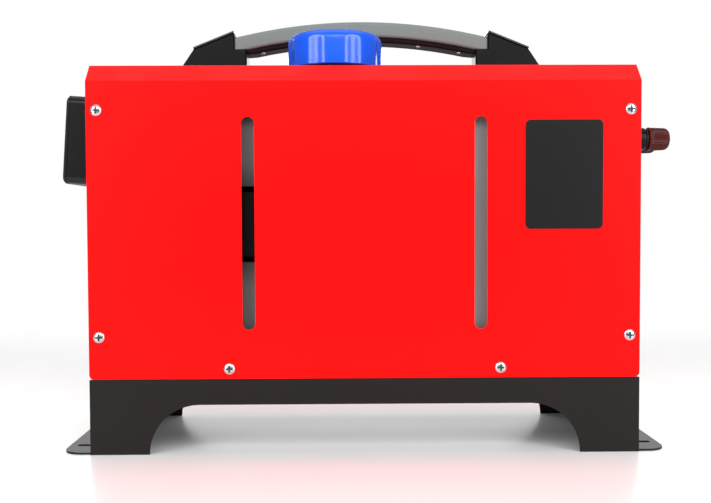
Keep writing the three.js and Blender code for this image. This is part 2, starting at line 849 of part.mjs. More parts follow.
// One post, built along +X from the end panel's face.
function bindingPost(colour, y, material) {
  const group = new THREE.Group();
  group.position.set(panelFace + seat, y, postZ);
  const clear = postStudRadius + seat;
  const collar = turnedAlongX([
    [clear, 0], [postCollarRadius, 0], [postCollarRadius, postCollarLength - 1],
    [postCollarRadius - 1, postCollarLength], [clear, postCollarLength], [clear, 0],
  ], 0, 0, 16);
  const washerAt = postCollarLength + seat;
  const washer = cut(
    bar('x', 0, 0, postWasherRadius, washerAt, washerAt + postWasherThickness, 8),
    bar('x', 0, 0, clear, washerAt - 1, washerAt + postWasherThickness + 1, 6),
  );
  const knobAt = washerAt + postWasherThickness + seat;
  const ribbed = polygon(Array.from({ length: 3 * knobRibs }, (_, i) => {
    const turn = 2 * Math.PI * i / (3 * knobRibs);
    const radius = i % 3 < 2 ? knobRadius : knobRadius - knobRibDepth;
    return [radius * Math.cos(turn), radius * Math.sin(turn)];
  }));
  const knob = cut(
    softPrism(ribbed, 'x', knobAt, knobAt + knobLength, 0.8),
    bar('x', 0, 0, clear, knobAt - 1, knobAt + knobBore, 6),
  );
  const stud = bar(
    'x', 0, 0, postStudRadius, -coverSheet - postStudInside, knobAt + knobBore - seat, 6,
  );
  group.add(
    piece(`${colour}_post_collar`, collar, blackPlastic),
    piece(`${colour}_post_washer`, washer, steel),
    piece(`${colour}_post_knob`, knob, material),
    piece(`${colour}_post_stud`, stud, steel),
  );
  return group;
}

// ---- Mains inlet --------------------------------------------------------------------------------

// The socket and its switch share one housing, built along +X round the middle of its flange.
function mainsInlet() {
  const group = new THREE.Group();
  group.position.set(panelFace + seat, mainsY, mainsZ);
  const [halfY, halfZ] = [mainsWidth / 2, mainsHeight / 2];
  const inset = 2 + seat;
  const flange = prism(roundedRect([-halfY, halfY], [-halfZ, halfZ], 3), 'x', 0, mainsFlange, 4);
  const body = block(
    [-mainsBodyDepth, 0.5], [-halfY + inset, halfY - inset], [-halfZ + inset, halfZ - inset],
  );
  const socketZ = [socketFromCentre - socketHeight / 2, socketFromCentre + socketHeight / 2];
  const chamferSize = socketHeight / 4;
  const socket = prism(polygon([
    [-socketWidth / 2, socketZ[0]], [socketWidth / 2, socketZ[0]],
    [socketWidth / 2, socketZ[1] - chamferSize], [socketWidth / 2 - chamferSize, socketZ[1]],
    [-socketWidth / 2 + chamferSize, socketZ[1]], [-socketWidth / 2, socketZ[1] - chamferSize],
  ]), 'x', mainsFlange - socketDepth, mainsFlange + 1);
  const pins = [-1, 0, 1].map((place) => block(
    [mainsFlange - socketDepth - 1, mainsFlange - pinBelowFace],
    [place * pinPitch - 1, place * pinPitch + 1],
    [socketFromCentre - 2 + (place ? -1 : 1.5), socketFromCentre + 2 + (place ? -1 : 1.5)],
  ));
  const well = block(
    [mainsFlange - rockerWellDepth, mainsFlange + 1],
    [-rockerWidth / 2 - seat, rockerWidth / 2 + seat],
    [rockerFromCentre - rockerHeight / 2 - 1, rockerFromCentre + rockerHeight / 2 + 1],
  );
  group.add(piece('mains_inlet', join(cut(join(flange, body), socket, well), ...pins), blackPlastic));

  const dish = new THREE.Shape();
  dish.moveTo(-rockerRootDepth, -rockerHeight / 4);
  dish.lineTo(rockerFace, -rockerHeight / 2 + 1);
  dish.quadraticCurveTo(rockerFace - rockerDish, 0, rockerFace, rockerHeight / 2 - 1);
  dish.lineTo(-rockerRootDepth, rockerHeight / 4);
  const rocker = piece(
    'power_rocker', prism(dish, 'y', -rockerWidth / 2, rockerWidth / 2, 8), buttonRubber,
  );
  rocker.position.set(mainsFlange - rockerPivotDepth, 0, rockerFromCentre);
  rocker.rotation.y = -rockerTilt;
  group.add(rocker);
  return group;
}

// ---- Hot air outlet -----------------------------------------------------------------------------

const collarInner = -(panelInner - outletInside);

// A duct collar: a flange on the end panel, a tube that a duct slides over, with a bead at its lip.
function outletCollar() {
  const lip = -(halfWidth + outletReach);
  const back = -(panelFace + seat);
  const face = back - outletFlangeThickness;
  const bore = outletRadius - outletWall;
  const profile = [
    [bore, lip], [outletRadius, lip], [outletRadius + 0.8, lip + 1.2], [outletRadius, lip + 2.4],
    [outletRadius, face], [outletRadius + outletFlange, face], [outletRadius + outletFlange, back],
    [outletRadius, back], [outletRadius, collarInner], [bore, collarInner], [bore, lip],
  ];
  return piece('outlet_collar', turnedAlongX(profile, airAxisY, airAxisZ, 22), blackPlastic);
}

// ---- Heater -------------------------------------------------------------------------------------

const heaterLeft = collarInner + seat;
const halfJoint = seat / 2;
const pipeOuter = pipeBore + pipeWall;
const flangeOfBurner = exchangerRight + seat;
const housingLeft = flangeOfBurner + plateOfBurner + seat;
const housingRight = motorLeft - seat;

// The casing's form, drawn in by an inset; the electronics bulge out of its upper front.
function casingForm(inset) {
  const tube = prism(roundedRect(
    [-heaterHalfDepth + inset, heaterHalfDepth - inset], [heaterLow + inset, heaterHigh - inset],
    heaterCorner - inset,
  ), 'x', heaterLeft + inset, heaterRight - inset, 3);
  const bulge = prism(roundedRect(
    [bulgeLeft + inset, bulgeRight - inset], [bulgeLow + inset, bulgeHigh - inset],
    bulgeCorner - inset,
  ), 'y', -heaterHalfDepth - bulgeReach + inset, -heaterHalfDepth / 2, 4);
  return join(tube, bulge);
}

function casingShell() {
  const outletMouth = bar(
    'x', airAxisY, airAxisZ, outletRadius - outletWall, heaterLeft - 1, heaterLeft + 2 * heaterWall, 16,
  );
  const inletMouth = bar(
    'x', airAxisY, airAxisZ, hotFanRadius, heaterRight - 2 * heaterWall, heaterRight + 1, 16,
  );
  const pipeHoles = [exhaustX, intakeX].map((x) => bar(
    'z', x, airAxisY, pipeOuter + seat, heaterLow - 1, heaterLow + 2 * heaterWall, 8,
  ));
  const lineHole = bar(
    'z', lineHoleX, lineHoleY, lineRadius + lineHoleGap, heaterLow - 1, heaterLow + 2 * heaterWall, 4,
  );
  const feet = [exhaustX - casingFootPitch, intakeX + casingFootPitch].map((x) => block(
    [x - casingFoot, x + casingFoot], [-2 * casingFoot, 2 * casingFoot],
    [baseHeight + seat, heaterLow + 1],
  ));
  return cut(
    join(cut(casingForm(0), casingForm(heaterWall)), ...feet),
    outletMouth, inletMouth, ...pipeHoles, lineHole,
  );
}

function heaterCasings() {
  const shell = casingShell();
  const long = [heaterLeft - 1, heaterRight + 1];
  const deep = [-caseDepth, caseDepth];
  const below = block(long, deep, [0, airAxisZ - halfJoint]);
  const above = block(long, deep, [airAxisZ + halfJoint, caseTop]);
  return [
    piece('heater_casing_lower', shell.intersect(below), blackPlastic),
    piece('heater_casing_upper', shell.intersect(above), blackPlastic),
  ];
}

// The electronics lie in the casing's bulge.
function controlUnit() {
  const front = -heaterHalfDepth - bulgeReach + heaterWall + seat;
  const margin = bulgeCorner;
  const board = block(
    [bulgeLeft + margin, bulgeRight - margin], [front, front + unitDepth],
    [bulgeLow + heaterWall + seat + 2, bulgeHigh - heaterWall - seat - 2],
  );
  return piece('control_unit', board, blackPlastic);
}

// A can with radial fins, open towards the burner; the exhaust leaves under it.
function heatExchanger() {
  const can = turnedAlongX([
    [0, exchangerLeft], [exchangerRadius - 6, exchangerLeft], [exchangerRadius, exchangerLeft + 6],
    [exchangerRadius, exchangerRight], [exchangerRadius - exchangerWall, exchangerRight],
    [exchangerRadius - exchangerWall, exchangerLeft + exchangerWall + 4],
    [0, exchangerLeft + exchangerWall + 4],
  ], airAxisY, airAxisZ, 24);
  const fins = Array.from({ length: exchangerFins }, (_, i) => {
    const fin = new THREE.BoxGeometry(
      exchangerRight - exchangerLeft - 2 * finSetback, finThickness, exchangerFin + exchangerWall / 2,
    );
    fin.translate(
      (exchangerLeft + exchangerRight - finSetback) / 2 - finSetback / 2, 0,
      exchangerRadius + (exchangerFin - exchangerWall / 2) / 2,
    );
    fin.rotateX(2 * Math.PI * (i + 0.5) / exchangerFins);
    fin.translate(0, airAxisY, airAxisZ);
    return solidOf(fin);
  });
  const port = bar(
    'z', exhaustX, airAxisY, pipeOuter + seat, heaterLow, airAxisZ - exchangerRadius + 0.5, 8,
  );
  const portHole = bar('z', exhaustX, airAxisY, pipeBore - 1, heaterLow, airAxisZ - exchangerWall, 8);
  return piece('heat_exchanger', cut(join(can, ...fins), port, portHole), castAlloy);
}

// The burner: a flange that closes the exchanger, and a perforated tube inside it.
function combustionChamber() {
  const left = flangeOfBurner - burnerLength;
  const right = flangeOfBurner + plateOfBurner;
  const inner = burnerRadius - burnerWall;
  const tube = turnedAlongX([
    [inner, left], [burnerRadius, left], [burnerRadius, flangeOfBurner],
    [exchangerRadius + burnerFlange, flangeOfBurner], [exchangerRadius + burnerFlange, right],
    [inner / 2, right], [inner / 2, flangeOfBurner + 2], [inner, flangeOfBurner + 2], [inner, left],
  ], airAxisY, airAxisZ, 16);
  const holes = Array.from({ length: burnerHoles }, (_, i) => bar(
    'z', flangeOfBurner - burnerHolePitch * (i + 1), airAxisY, burnerHole, airAxisZ - exchangerRadius,
    airAxisZ + exchangerRadius, 3,
  ));
  return piece('combustion_chamber', cut(tube, ...holes), castAlloy);
}

function glowPlug() {
  const seatZ = airAxisZ + exchangerRadius + seat;
  const profile = [
    [0, seatZ], [plugRadius, seatZ], [plugRadius, seatZ + plugLength / 2],
    [plugRadius * 0.7, seatZ + plugLength / 2 + 1], [plugRadius * 0.7, seatZ + plugLength - 6],
    [plugRadius / 3, seatZ + plugLength - 5], [plugRadius / 3, seatZ + plugLength], [0, seatZ + plugLength],
  ];
  return piece('glow_plug', turned(profile, exchangerRight - plugFromFlange, airAxisY, 12), steel);
}

// The cup round the combustion fan, on a foot in the casing, with the intake port under it.
function fanHousing() {
  const inner = burnFanRadius + runningGap;
  const outer = inner + housingWall;
  const cup = turnedAlongX([
    [inner, housingLeft], [outer, housingLeft], [outer, housingRight],
    [shaftRadius + runningGap, housingRight], [shaftRadius + runningGap, housingRight - housingWall],
    [inner, housingRight - housingWall], [inner, housingLeft],
  ], airAxisY, airAxisZ, 16);
  const foot = block(
    [intakeX + pipeOuter + seat, housingRight], [-footOfHousing, footOfHousing],
    [heaterLow + heaterWall + seat, airAxisZ - inner - 1],
  );
  const port = bar('z', intakeX, airAxisY, pipeBore - 1, heaterLow, airAxisZ - burnFanRadius / 2, 8);
  return piece('fan_housing', cut(join(cup, foot), port), castAlloy);
}

function blowerMotor() {
  const right = motorLeft + motorLength;
  const bore = shaftRadius + seat;
  const profile = [
    [bore, motorLeft], [motorRadius, motorLeft], [motorRadius, right - 2], [motorRadius - 2, right],
    [shaftRadius * 3, right], [shaftRadius * 3, right + 3], [bore, right + 3], [bore, motorLeft],
  ];
  return piece('blower_motor', turnedAlongX(profile, airAxisY, airAxisZ, 18), steel);
}

function motorShaft() {
  const shaft = bar('x', airAxisY, airAxisZ, shaftRadius, housingLeft + seat, heaterRight - 2, 6);
  return piece('motor_shaft', shaft, steel);
}

// A blade twisted round the X axis as it runs along it.
function twistedBlade(inner, outer, length, twist, thickness) {
  const blade = new THREE.BoxGeometry(length, outer - inner, thickness, 3, 1, 1);
  const places = blade.attributes.position;
  for (let i = 0; i < places.count; i += 1) {
    const along = places.getX(i);
    const radius = places.getY(i) + (inner + outer) / 2;
    const turn = twist * along / length + places.getZ(i) / radius;
    places.setXYZ(i, along, radius * Math.cos(turn), radius * Math.sin(turn));
  }
  return blade;
}

function hotAirFan() {
  const right = heaterRight - fanSetback;
  const left = right - hotFanLength;
  const hub = turnedAlongX([
    [shaftRadius + seat, left], [hotFanHub, left], [hotFanHub, right - 4], [hotFanHub - 5, right],
    [shaftRadius + seat, right], [shaftRadius + seat, left],
  ], airAxisY, airAxisZ, 18);
  const tip = hotFanRadius - runningGap - heaterWall;
  const blades = Array.from({ length: hotFanBlades }, (_, i) => {
    const blade = twistedBlade(hotFanHub - 1.5, tip, hotFanLength - 5, hotFanTwist, 1.8);
    blade.rotateX(2 * Math.PI * i / hotFanBlades);
    blade.translate((left + right) / 2 - 1, airAxisY, airAxisZ);
    return solidOf(blade);
  });
  return piece('hot_air_fan', join(hub, ...blades), blackPlastic);
}

// A disc with curved blades, drawn as crescents in (y, z).
function combustionFan() {
  const left = housingLeft + 2;
  const disc = cut(
    bar('x', airAxisY, airAxisZ, burnFanRadius, left, left + 2, 11),
    bar('x', airAxisY, airAxisZ, shaftRadius + seat, left - 1, left + 3, 6),
  );
  const blades = Array.from({ length: burnFanBlades }, (_, i) => {
    const crescent = new THREE.Shape();
    crescent.absarc(0, 0, bladeCurve, -0.5, 0.5, false);
    crescent.absarc(0, 0, bladeCurve - 1.6, 0.5, -0.5, true);
    const geometry = new THREE.ExtrudeGeometry(crescent, {
      depth: burnFanLength, bevelEnabled: false, curveSegments: 2,
    });
    geometry.translate(-bladeCurve, burnFanRadius - bladeCurve / 2 - 1, left);
    geometry.applyMatrix4(uprights.x);
    geometry.rotateX(2 * Math.PI * i / burnFanBlades);
    geometry.translate(0, airAxisY, airAxisZ);
    return solidOf(geometry);
  });
  return piece('combustion_fan', join(disc, ...blades), castAlloy);
}

// ---- Pipes, fuel parts and electrics ------------------------------------------------------------

// A pipe down through the base plate, with a flange on the plate and a bead at its end.
function downPipe(name, x, top) {
  const flangeLow = baseHeight + seat;
  const pipeEnd = baseHeight - pipeBelowBase;
  const profile = [
    [pipeBore, pipeEnd], [pipeOuter, pipeEnd], [pipeOuter + 1, pipeEnd + 2], [pipeOuter, pipeEnd + 4],
    [pipeOuter, flangeLow], [pipeOuter + pipeFlange, flangeLow], [pipeOuter + pipeFlange, flangeLow + 2],
    [pipeOuter, flangeLow + 2], [pipeOuter, top], [pipeBore, top], [pipeBore, pipeEnd],
  ];
  return piece(name, turned(profile, x, airAxisY, 12), steel);
}

const pumpX = panelInner - pumpFromEnd;
const pumpZ = baseHeight + seat + pumpRadius + pumpRise;
const nippleLength = 8;

// A pump in a clip that stands on the base plate.
function dosingPump() {
  const [front, rear] = [pumpY - pumpLength / 2, pumpY + pumpLength / 2];
  const barrel = bar('y', pumpX, pumpZ, pumpRadius, front, rear, 8);
  const nipples = bar('y', pumpX, pumpZ, lineRadius, front - nippleLength, rear + nippleLength, 4);
  const clip = block(
    [pumpX - pumpRadius, pumpX + pumpRadius], [pumpY - 5, pumpY + 5], [baseHeight + seat, pumpZ],
  );
  return piece('dosing_pump', join(barrel, nipples, clip), steel);
}

// A fuel hose along a smooth route.
function hose(name, route) {
  const path = new THREE.CatmullRomCurve3(route.map((place) => new THREE.Vector3(...place)));
  const section = new THREE.Shape();
  section.absarc(0, 0, lineRadius, 0, 2 * Math.PI, false);
  const geometry = new THREE.ExtrudeGeometry(section, {
    steps: 18, bevelEnabled: false, extrudePath: path, curveSegments: 4,
  });
  return piece(name, solidOf(geometry), sealRubber);
}

function fuelLines() {
  const start = fittingEnd + seat;
  const front = pumpY - pumpLength / 2 - nippleLength - seat;
  const rear = pumpY + pumpLength / 2 + nippleLength + seat;
  const under = heaterLow - lineRadius - 1.2;
  const beside = heaterHalfDepth - heaterCorner + lineOffset;
  return [
    hose('suction_line', [
      [start, fittingY, fittingZ], [start + 5, fittingY, fittingZ], [pumpX - 6, fittingY, pumpZ - 2],
      [pumpX, (front + fittingY) / 2 + 1, pumpZ], [pumpX, front, pumpZ],
    ]),
    hose('delivery_line', [
      [pumpX, rear, pumpZ], [pumpX, rear + 4, pumpZ], [pumpX - 12, beside + 3, under + 4],
      [heaterRight - 14, beside, under], [lineHoleX + 14, lineHoleY + 4, under],
      [lineHoleX, lineHoleY, heaterLow + 0.5], [lineHoleX, lineHoleY, heaterLow + heaterWall + 4],
    ]),
  ];
}

// The mains converter hangs under the deck, with cooling fins along its lower face.
function powerSupply() {
  const high = deckLow - seat;
  const low = high - supplyHeight;
  const supplyRight = panelInner - supplyFromEnd;
  const supplyLeft = supplyRight - supplyWidth;
  const body = block([supplyLeft, supplyRight], [supplyFront, supplyRear], [low, high]);
  const pitch = supplyWidth / supplyFins;
  const grooves = Array.from({ length: supplyFins - 1 }, (_, i) => {
    const x = supplyLeft + (i + 1) * pitch;
    return block([x - pitch / 4, x + pitch / 4], [supplyFront - 1, supplyRear + 1], [low - 1, low + 6]);
  });
  return piece('power_supply', cut(body, ...grooves), castAlloy);
}

// ---- Assembly -----------------------------------------------------------------------------------

const heater = new THREE.Group();
heater.add(
  frontCover(), rearCover(), topDeck(), leftEndPanel(), rightEndPanel(), baseTray(), ...feet(),
  ratingPlate(),
);
heater.add(fuelTank(), fillerGrommet(), capGasket(), fillerCap(), ...handle());
heater.add(controllerHolder(), controller(), outletCollar(), mainsInlet());
heater.add(
  bindingPost('red', postFrontY, maroonPlastic),
  bindingPost('black', postFrontY + postPitch, blackPlastic),
);
heater.add(
  ...heaterCasings(), controlUnit(), heatExchanger(), combustionChamber(), glowPlug(), fanHousing(),
  blowerMotor(), motorShaft(), hotAirFan(), combustionFan(),
);
heater.add(
  downPipe('exhaust_pipe', exhaustX, airAxisZ - exchangerRadius),
  downPipe('intake_pipe', intakeX, airAxisZ - burnFanRadius - runningGap - housingWall - seat),
  dosingPump(), ...fuelLines(), powerSupply(),
);

export default heater;
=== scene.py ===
"""A portable diesel air heater: red folded case on a black base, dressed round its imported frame.

Every length here is in millimetres unless a name says metres, and MM turns it into scene units.
"""

import logging
import math
from dataclasses import dataclass
from enum import Enum
from typing import Callable, Sequence

import bmesh
import bpy
from mathutils import Matrix, Vector


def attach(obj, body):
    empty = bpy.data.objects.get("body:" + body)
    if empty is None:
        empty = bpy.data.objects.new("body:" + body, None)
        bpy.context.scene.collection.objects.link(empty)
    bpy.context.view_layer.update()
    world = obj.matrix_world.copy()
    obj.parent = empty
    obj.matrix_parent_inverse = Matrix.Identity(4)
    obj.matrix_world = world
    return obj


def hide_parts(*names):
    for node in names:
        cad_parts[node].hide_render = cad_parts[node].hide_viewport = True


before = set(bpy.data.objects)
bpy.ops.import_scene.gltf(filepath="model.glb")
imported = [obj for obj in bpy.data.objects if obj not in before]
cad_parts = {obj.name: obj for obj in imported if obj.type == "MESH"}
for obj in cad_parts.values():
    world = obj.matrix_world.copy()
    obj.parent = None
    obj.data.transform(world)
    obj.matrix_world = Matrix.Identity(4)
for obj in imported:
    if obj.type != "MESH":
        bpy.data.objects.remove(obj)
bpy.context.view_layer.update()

MM = 0.001
# Where the painted shade on the tank's wall centres and how far it reaches, in metres.
WINDOW_MIDDLE = (-0.04, 0.0, 0.163)
WINDOW_HALF = (0.1, 0.0, 0.024)
WINDOW_REACH = 0.024
SLOT_HALF_SPAN = 0.082
log = logging.getLogger("heater")


# ---- Shared shader effects ----------------------------------------------------------------------

class Effect(Enum):
    """The shader node groups that several finishes share."""

    GRAIN = "fine_grain"
    DUST = "settled_dust"
    BLOTCH = "slow_blotches"
    PAINTED_WINDOW_SHADE = "painted_window_shade"


def new_group(effect: Effect, inputs: dict[str, float], outputs: dict[str, str]) -> bpy.types.NodeTree:
    """Starts an empty node group with named sockets.

    Args:
        effect: which effect the group is for.
        inputs: the names of the number inputs, with their defaults.
        outputs: the names of the outputs, with their socket types.

    Returns:
        The group, holding its two end nodes.
    """
    group = bpy.data.node_groups.new(effect.value, "ShaderNodeTree")
    for name, default in inputs.items():
        socket = group.interface.new_socket(name, in_out="INPUT", socket_type="NodeSocketFloat")
        socket.default_value = default
    for name, kind in outputs.items():
        group.interface.new_socket(name, in_out="OUTPUT", socket_type=kind)
    group.nodes.new("NodeGroupInput").name = "in"
    group.nodes.new("NodeGroupOutput").name = "out"
    return group


def grain_group() -> bpy.types.NodeTree:
    """Builds the fine grain: a small noise that gives a bump height and a roughness mask."""
    group = new_group(
        Effect.GRAIN, {"Scale": 900.0, "Depth": 0.3},
        {"Height": "NodeSocketFloat", "Mask": "NodeSocketFloat"},
    )
    nodes, links = group.nodes, group.links
    place = nodes.new("ShaderNodeTexCoord")
    noise = nodes.new("ShaderNodeTexNoise")
    noise.inputs["Detail"].default_value = 3.0
    noise.inputs["Roughness"].default_value = 0.6
    depth = nodes.new("ShaderNodeMath")
    depth.operation = "MULTIPLY"
    links.new(place.outputs["Object"], noise.inputs["Vector"])
    links.new(nodes["in"].outputs["Scale"], noise.inputs["Scale"])
    links.new(noise.outputs["Fac"], depth.inputs[0])
    links.new(nodes["in"].outputs["Depth"], depth.inputs[1])
    links.new(depth.outputs[0], nodes["out"].inputs["Height"])
    links.new(noise.outputs["Fac"], nodes["out"].inputs["Mask"])
    return group


def dust_group() -> bpy.types.NodeTree:
    """Builds the dust: a patchy mask on the faces that look up."""
    group = new_group(
        Effect.DUST, {"Amount": 0.2, "Scale": 30.0}, {"Mask": "NodeSocketFloat"},
    )
    nodes, links = group.nodes, group.links
    place = nodes.new("ShaderNodeTexCoord")
    noise = nodes.new("ShaderNodeTexNoise")
    noise.inputs["Detail"].default_value = 6.0
    split = nodes.new("ShaderNodeSeparateXYZ")
    upward = nodes.new("ShaderNodeMapRange")
    upward.inputs["From Min"].default_value = 0.35
    upward.inputs["From Max"].default_value = 1.0
    patchy = nodes.new("ShaderNodeMapRange")
    patchy.inputs["From Min"].default_value = 0.4
    patchy.inputs["From Max"].default_value = 0.75
    both = nodes.new("ShaderNodeMath")
    both.operation = "MULTIPLY"
    amount = nodes.new("ShaderNodeMath")
    amount.operation = "MULTIPLY"
    links.new(place.outputs["Object"], noise.inputs["Vector"])
    links.new(nodes["in"].outputs["Scale"], noise.inputs["Scale"])
    links.new(noise.outputs["Fac"], patchy.inputs["Value"])
    links.new(place.outputs["Normal"], split.inputs[0])
    links.new(split.outputs["Z"], upward.inputs["Value"])
    links.new(upward.outputs[0], both.inputs[0])
    links.new(patchy.outputs[0], both.inputs[1])
    links.new(both.outputs[0], amount.inputs[0])
    links.new(nodes["in"].outputs["Amount"], amount.inputs[1])
    links.new(amount.outputs[0], nodes["out"].inputs["Mask"])
    return group


def blotch_group() -> bpy.types.NodeTree:
    """Builds slow blotches: a wide soft noise round the value one, to vary a colour."""
    group = new_group(
        Effect.BLOTCH, {"Scale": 12.0, "Low": 0.9, "High": 1.05}, {"Value": "NodeSocketFloat"},
    )
    nodes, links = group.nodes, group.links
    place = nodes.new("ShaderNodeTexCoord")
    noise = nodes.new("ShaderNodeTexNoise")
    noise.inputs["Detail"].default_value = 2.0
    spread = nodes.new("ShaderNodeMapRange")
    spread.inputs["From Min"].default_value = 0.3
    spread.inputs["From Max"].default_value = 0.7
    links.new(place.outputs["Object"], noise.inputs["Vector"])
    links.new(nodes["in"].outputs["Scale"], noise.inputs["Scale"])
    links.new(noise.outputs["Fac"], spread.inputs["Value"])
    links.new(nodes["in"].outputs["Low"], spread.inputs["To Min"])
    links.new(nodes["in"].outputs["High"], spread.inputs["To Max"])
    links.new(spread.outputs[0], nodes["out"].inputs["Value"])
    return group


def painted_window_shade_group() -> bpy.types.NodeTree:
    """Builds painted shade on a thin moulded wall: darker round its window and to the left, where less
    light falls.
    """
    group = new_group(
        Effect.PAINTED_WINDOW_SHADE, {"Near": 0.22, "Left": 0.55, "Right": 1.35}, {"Value": "NodeSocketFloat"},
    )
    nodes, links = group.nodes, group.links
    place = nodes.new("ShaderNodeTexCoord")
    steps = (
        ("MULTIPLY", (1.0, 0.0, 1.0)), ("SUBTRACT", WINDOW_MIDDLE), ("ABSOLUTE", None),
        ("SUBTRACT", WINDOW_HALF), ("MAXIMUM", (0.0, 0.0, 0.0)),
    )
    latest = place.outputs["Object"]
    for operation, value in steps:
        step = nodes.new("ShaderNodeVectorMath")
        step.operation = operation
        links.new(latest, step.inputs[0])
        if value is not None:
            step.inputs[1].default_value = value
        latest = step.outputs["Vector"]
    distance = nodes.new("ShaderNodeVectorMath")
    distance.operation = "LENGTH"
    near = nodes.new("ShaderNodeMapRange")
    near.interpolation_type = "SMOOTHSTEP"
    near.inputs["From Max"].default_value = WINDOW_REACH
    near.inputs["To Max"].default_value = 1.0
    split = nodes.new("ShaderNodeSeparateXYZ")
    across = nodes.new("ShaderNodeMapRange")
    across.inputs["From Min"].default_value = -SLOT_HALF_SPAN
    across.inputs["From Max"].default_value = SLOT_HALF_SPAN
    both = nodes.new("ShaderNodeMath")
    both.operation = "MULTIPLY"
    links.new(latest, distance.inputs[0])
    links.new(distance.outputs["Value"], near.inputs["Value"])
    links.new(nodes["in"].outputs["Near"], near.inputs["To Min"])
    links.new(place.outputs["Object"], split.inputs[0])
    links.new(split.outputs["X"], across.inputs["Value"])
    links.new(nodes["in"].outputs["Left"], across.inputs["To Min"])
    links.new(nodes["in"].outputs["Right"], across.inputs["To Max"])
    links.new(near.outputs[0], both.inputs[0])
    links.new(across.outputs[0], both.inputs[1])
    links.new(both.outputs[0], nodes["out"].inputs["Value"])
    return group


GROUP_MAKERS: dict[Effect, Callable[[], bpy.types.NodeTree]] = {
    Effect.GRAIN: grain_group,
    Effect.DUST: dust_group,
    Effect.BLOTCH: blotch_group,
    Effect.PAINTED_WINDOW_SHADE: painted_window_shade_group,
}


def effect_node(tree: bpy.types.NodeTree, effect: Effect, **values: float) -> bpy.types.Node:
    """Places a shared effect in a material.

    Args:
        tree: the material's node tree.
        effect: which effect to place.
        **values: the group's inputs, by name.

    Returns:
        The group node.
    """
    group = bpy.data.node_groups.get(effect.value) or GROUP_MAKERS[effect]()
    node = tree.nodes.new("ShaderNodeGroup")
    node.node_tree = group
    for name, value in values.items():
        node.inputs[name].default_value = value
    return node


# ---- Finishes -----------------------------------------------------------------------------------

def linear(channel: float) -> float:
    """Turns an sRGB channel from 0 to 255 into a linear one."""
    share = channel / 255
    return share / 12.92 if share <= 0.04045 else ((share + 0.055) / 1.055) ** 2.4


@dataclass(frozen=True)
class Finish:
    """A surface finish.

    Attributes:
        name: the material's name.
        slot: the record's material slot that it stands for; not used.
        colour: its sRGB colour, from 0 to 255.
        roughness: the middle of its roughness.
        rough_spread: how far the grain moves the roughness.
        metallic: 1 for bare metal.
        coat: the weight of a clear coat.
        grain: the grain's scale, per metre.
        depth: the bump's distance, in millimetres.
        blotch: how far the colour varies, as a share.
        dust: how much dust lies on the faces that look up.
        subsurface: how much light goes through the surface.
        specular: how strongly it reflects, where 0.5 is usual.
        lobe: True for the tank's wall, which takes painted shade round its window and to its left.
    """

    name: str
    slot: str
    colour: tuple[float, float, float]
    roughness: float = 0.4
    rough_spread: float = 0.1
    metallic: float = 0.0
    coat: float = 0.0
    grain: float = 900.0
    depth: float = 0.02
    blotch: float = 0.04
    dust: float = 0.05
    subsurface: float = 0.0
    specular: float = 0.5
    lobe: bool = False

    def material(self) -> bpy.types.Material:
        """Builds the finish's material once.

        Returns:
            The material, from the scene's own list where it is there already.
        """
        made = bpy.data.materials.get(self.name)
        if made:
            return made
        made = bpy.data.materials.new(self.name)
        made.use_nodes = True
        tree = made.node_tree
        surface = tree.nodes["Principled BSDF"]
        surface.inputs["Metallic"].default_value = self.metallic
        surface.inputs["Coat Weight"].default_value = self.coat
        surface.inputs["Specular IOR Level"].default_value = self.specular
        surface.inputs["Coat Roughness"].default_value = 0.08
        surface.inputs["Subsurface Weight"].default_value = self.subsurface
        surface.inputs["Subsurface Radius"].default_value = (1.0, 1.0, 1.0)
        surface.inputs["Subsurface Scale"].default_value = 4 * MM
        self.paint(tree, surface)
        self.texture(tree, surface)
        return made

    def paint(self, tree: bpy.types.NodeTree, surface: bpy.types.Node) -> None:
        """Colours the surface: its own colour in slow blotches, with painted shade on the tank's wall and
        dust on top.

        Args:
            tree: the material's node tree.
            surface: its Principled shader.
        """
        colour = tuple(linear(channel) for channel in self.colour)
        blotches = effect_node(
            tree, Effect.BLOTCH, Scale=11.0, Low=1 - self.blotch, High=1 + self.blotch / 2,
        )
        tint = tree.nodes.new("ShaderNodeVectorMath")
        tint.operation = "SCALE"
        tint.inputs[0].default_value = colour
        strength = blotches.outputs["Value"]
        # The tank's wall takes painted shade: darker round its window and towards the left.
        if self.lobe:
            shade = effect_node(tree, Effect.PAINTED_WINDOW_SHADE)
            product = tree.nodes.new("ShaderNodeMath")
            product.operation = "MULTIPLY"
            tree.links.new(strength, product.inputs[0])
            tree.links.new(shade.outputs["Value"], product.inputs[1])
            strength = product.outputs[0]
        tree.links.new(strength, tint.inputs["Scale"])
        dust = effect_node(tree, Effect.DUST, Amount=self.dust, Scale=35.0)
        blend = tree.nodes.new("ShaderNodeMix")
        blend.data_type = "RGBA"
        blend.inputs["B"].default_value = (0.55, 0.53, 0.5, 1.0)
        tree.links.new(dust.outputs["Mask"], blend.inputs["Factor"])
        tree.links.new(tint.outputs[0], blend.inputs["A"])
        tree.links.new(blend.outputs["Result"], surface.inputs["Base Color"])

    def texture(self, tree: bpy.types.NodeTree, surface: bpy.types.Node) -> None:
        """Gives the surface its grain, in its roughness and its bump.

        Args:
            tree: the material's node tree.
            surface: its Principled shader.
        """
        grain = effect_node(tree, Effect.GRAIN, Scale=self.grain, Depth=1.0)
        spread = tree.nodes.new("ShaderNodeMapRange")
        spread.inputs["To Min"].default_value = self.roughness - self.rough_spread
        spread.inputs["To Max"].default_value = self.roughness + self.rough_spread
        tree.links.new(grain.outputs["Mask"], spread.inputs["Value"])
        tree.links.new(spread.outputs[0], surface.inputs["Roughness"])
        bump = tree.nodes.new("ShaderNodeBump")
        bump.inputs["Strength"].default_value = 0.6
        bump.inputs["Distance"].default_value = self.depth * MM
        tree.links.new(grain.outputs["Height"], bump.inputs["Height"])
        tree.links.new(bump.outputs[0], surface.inputs["Normal"])


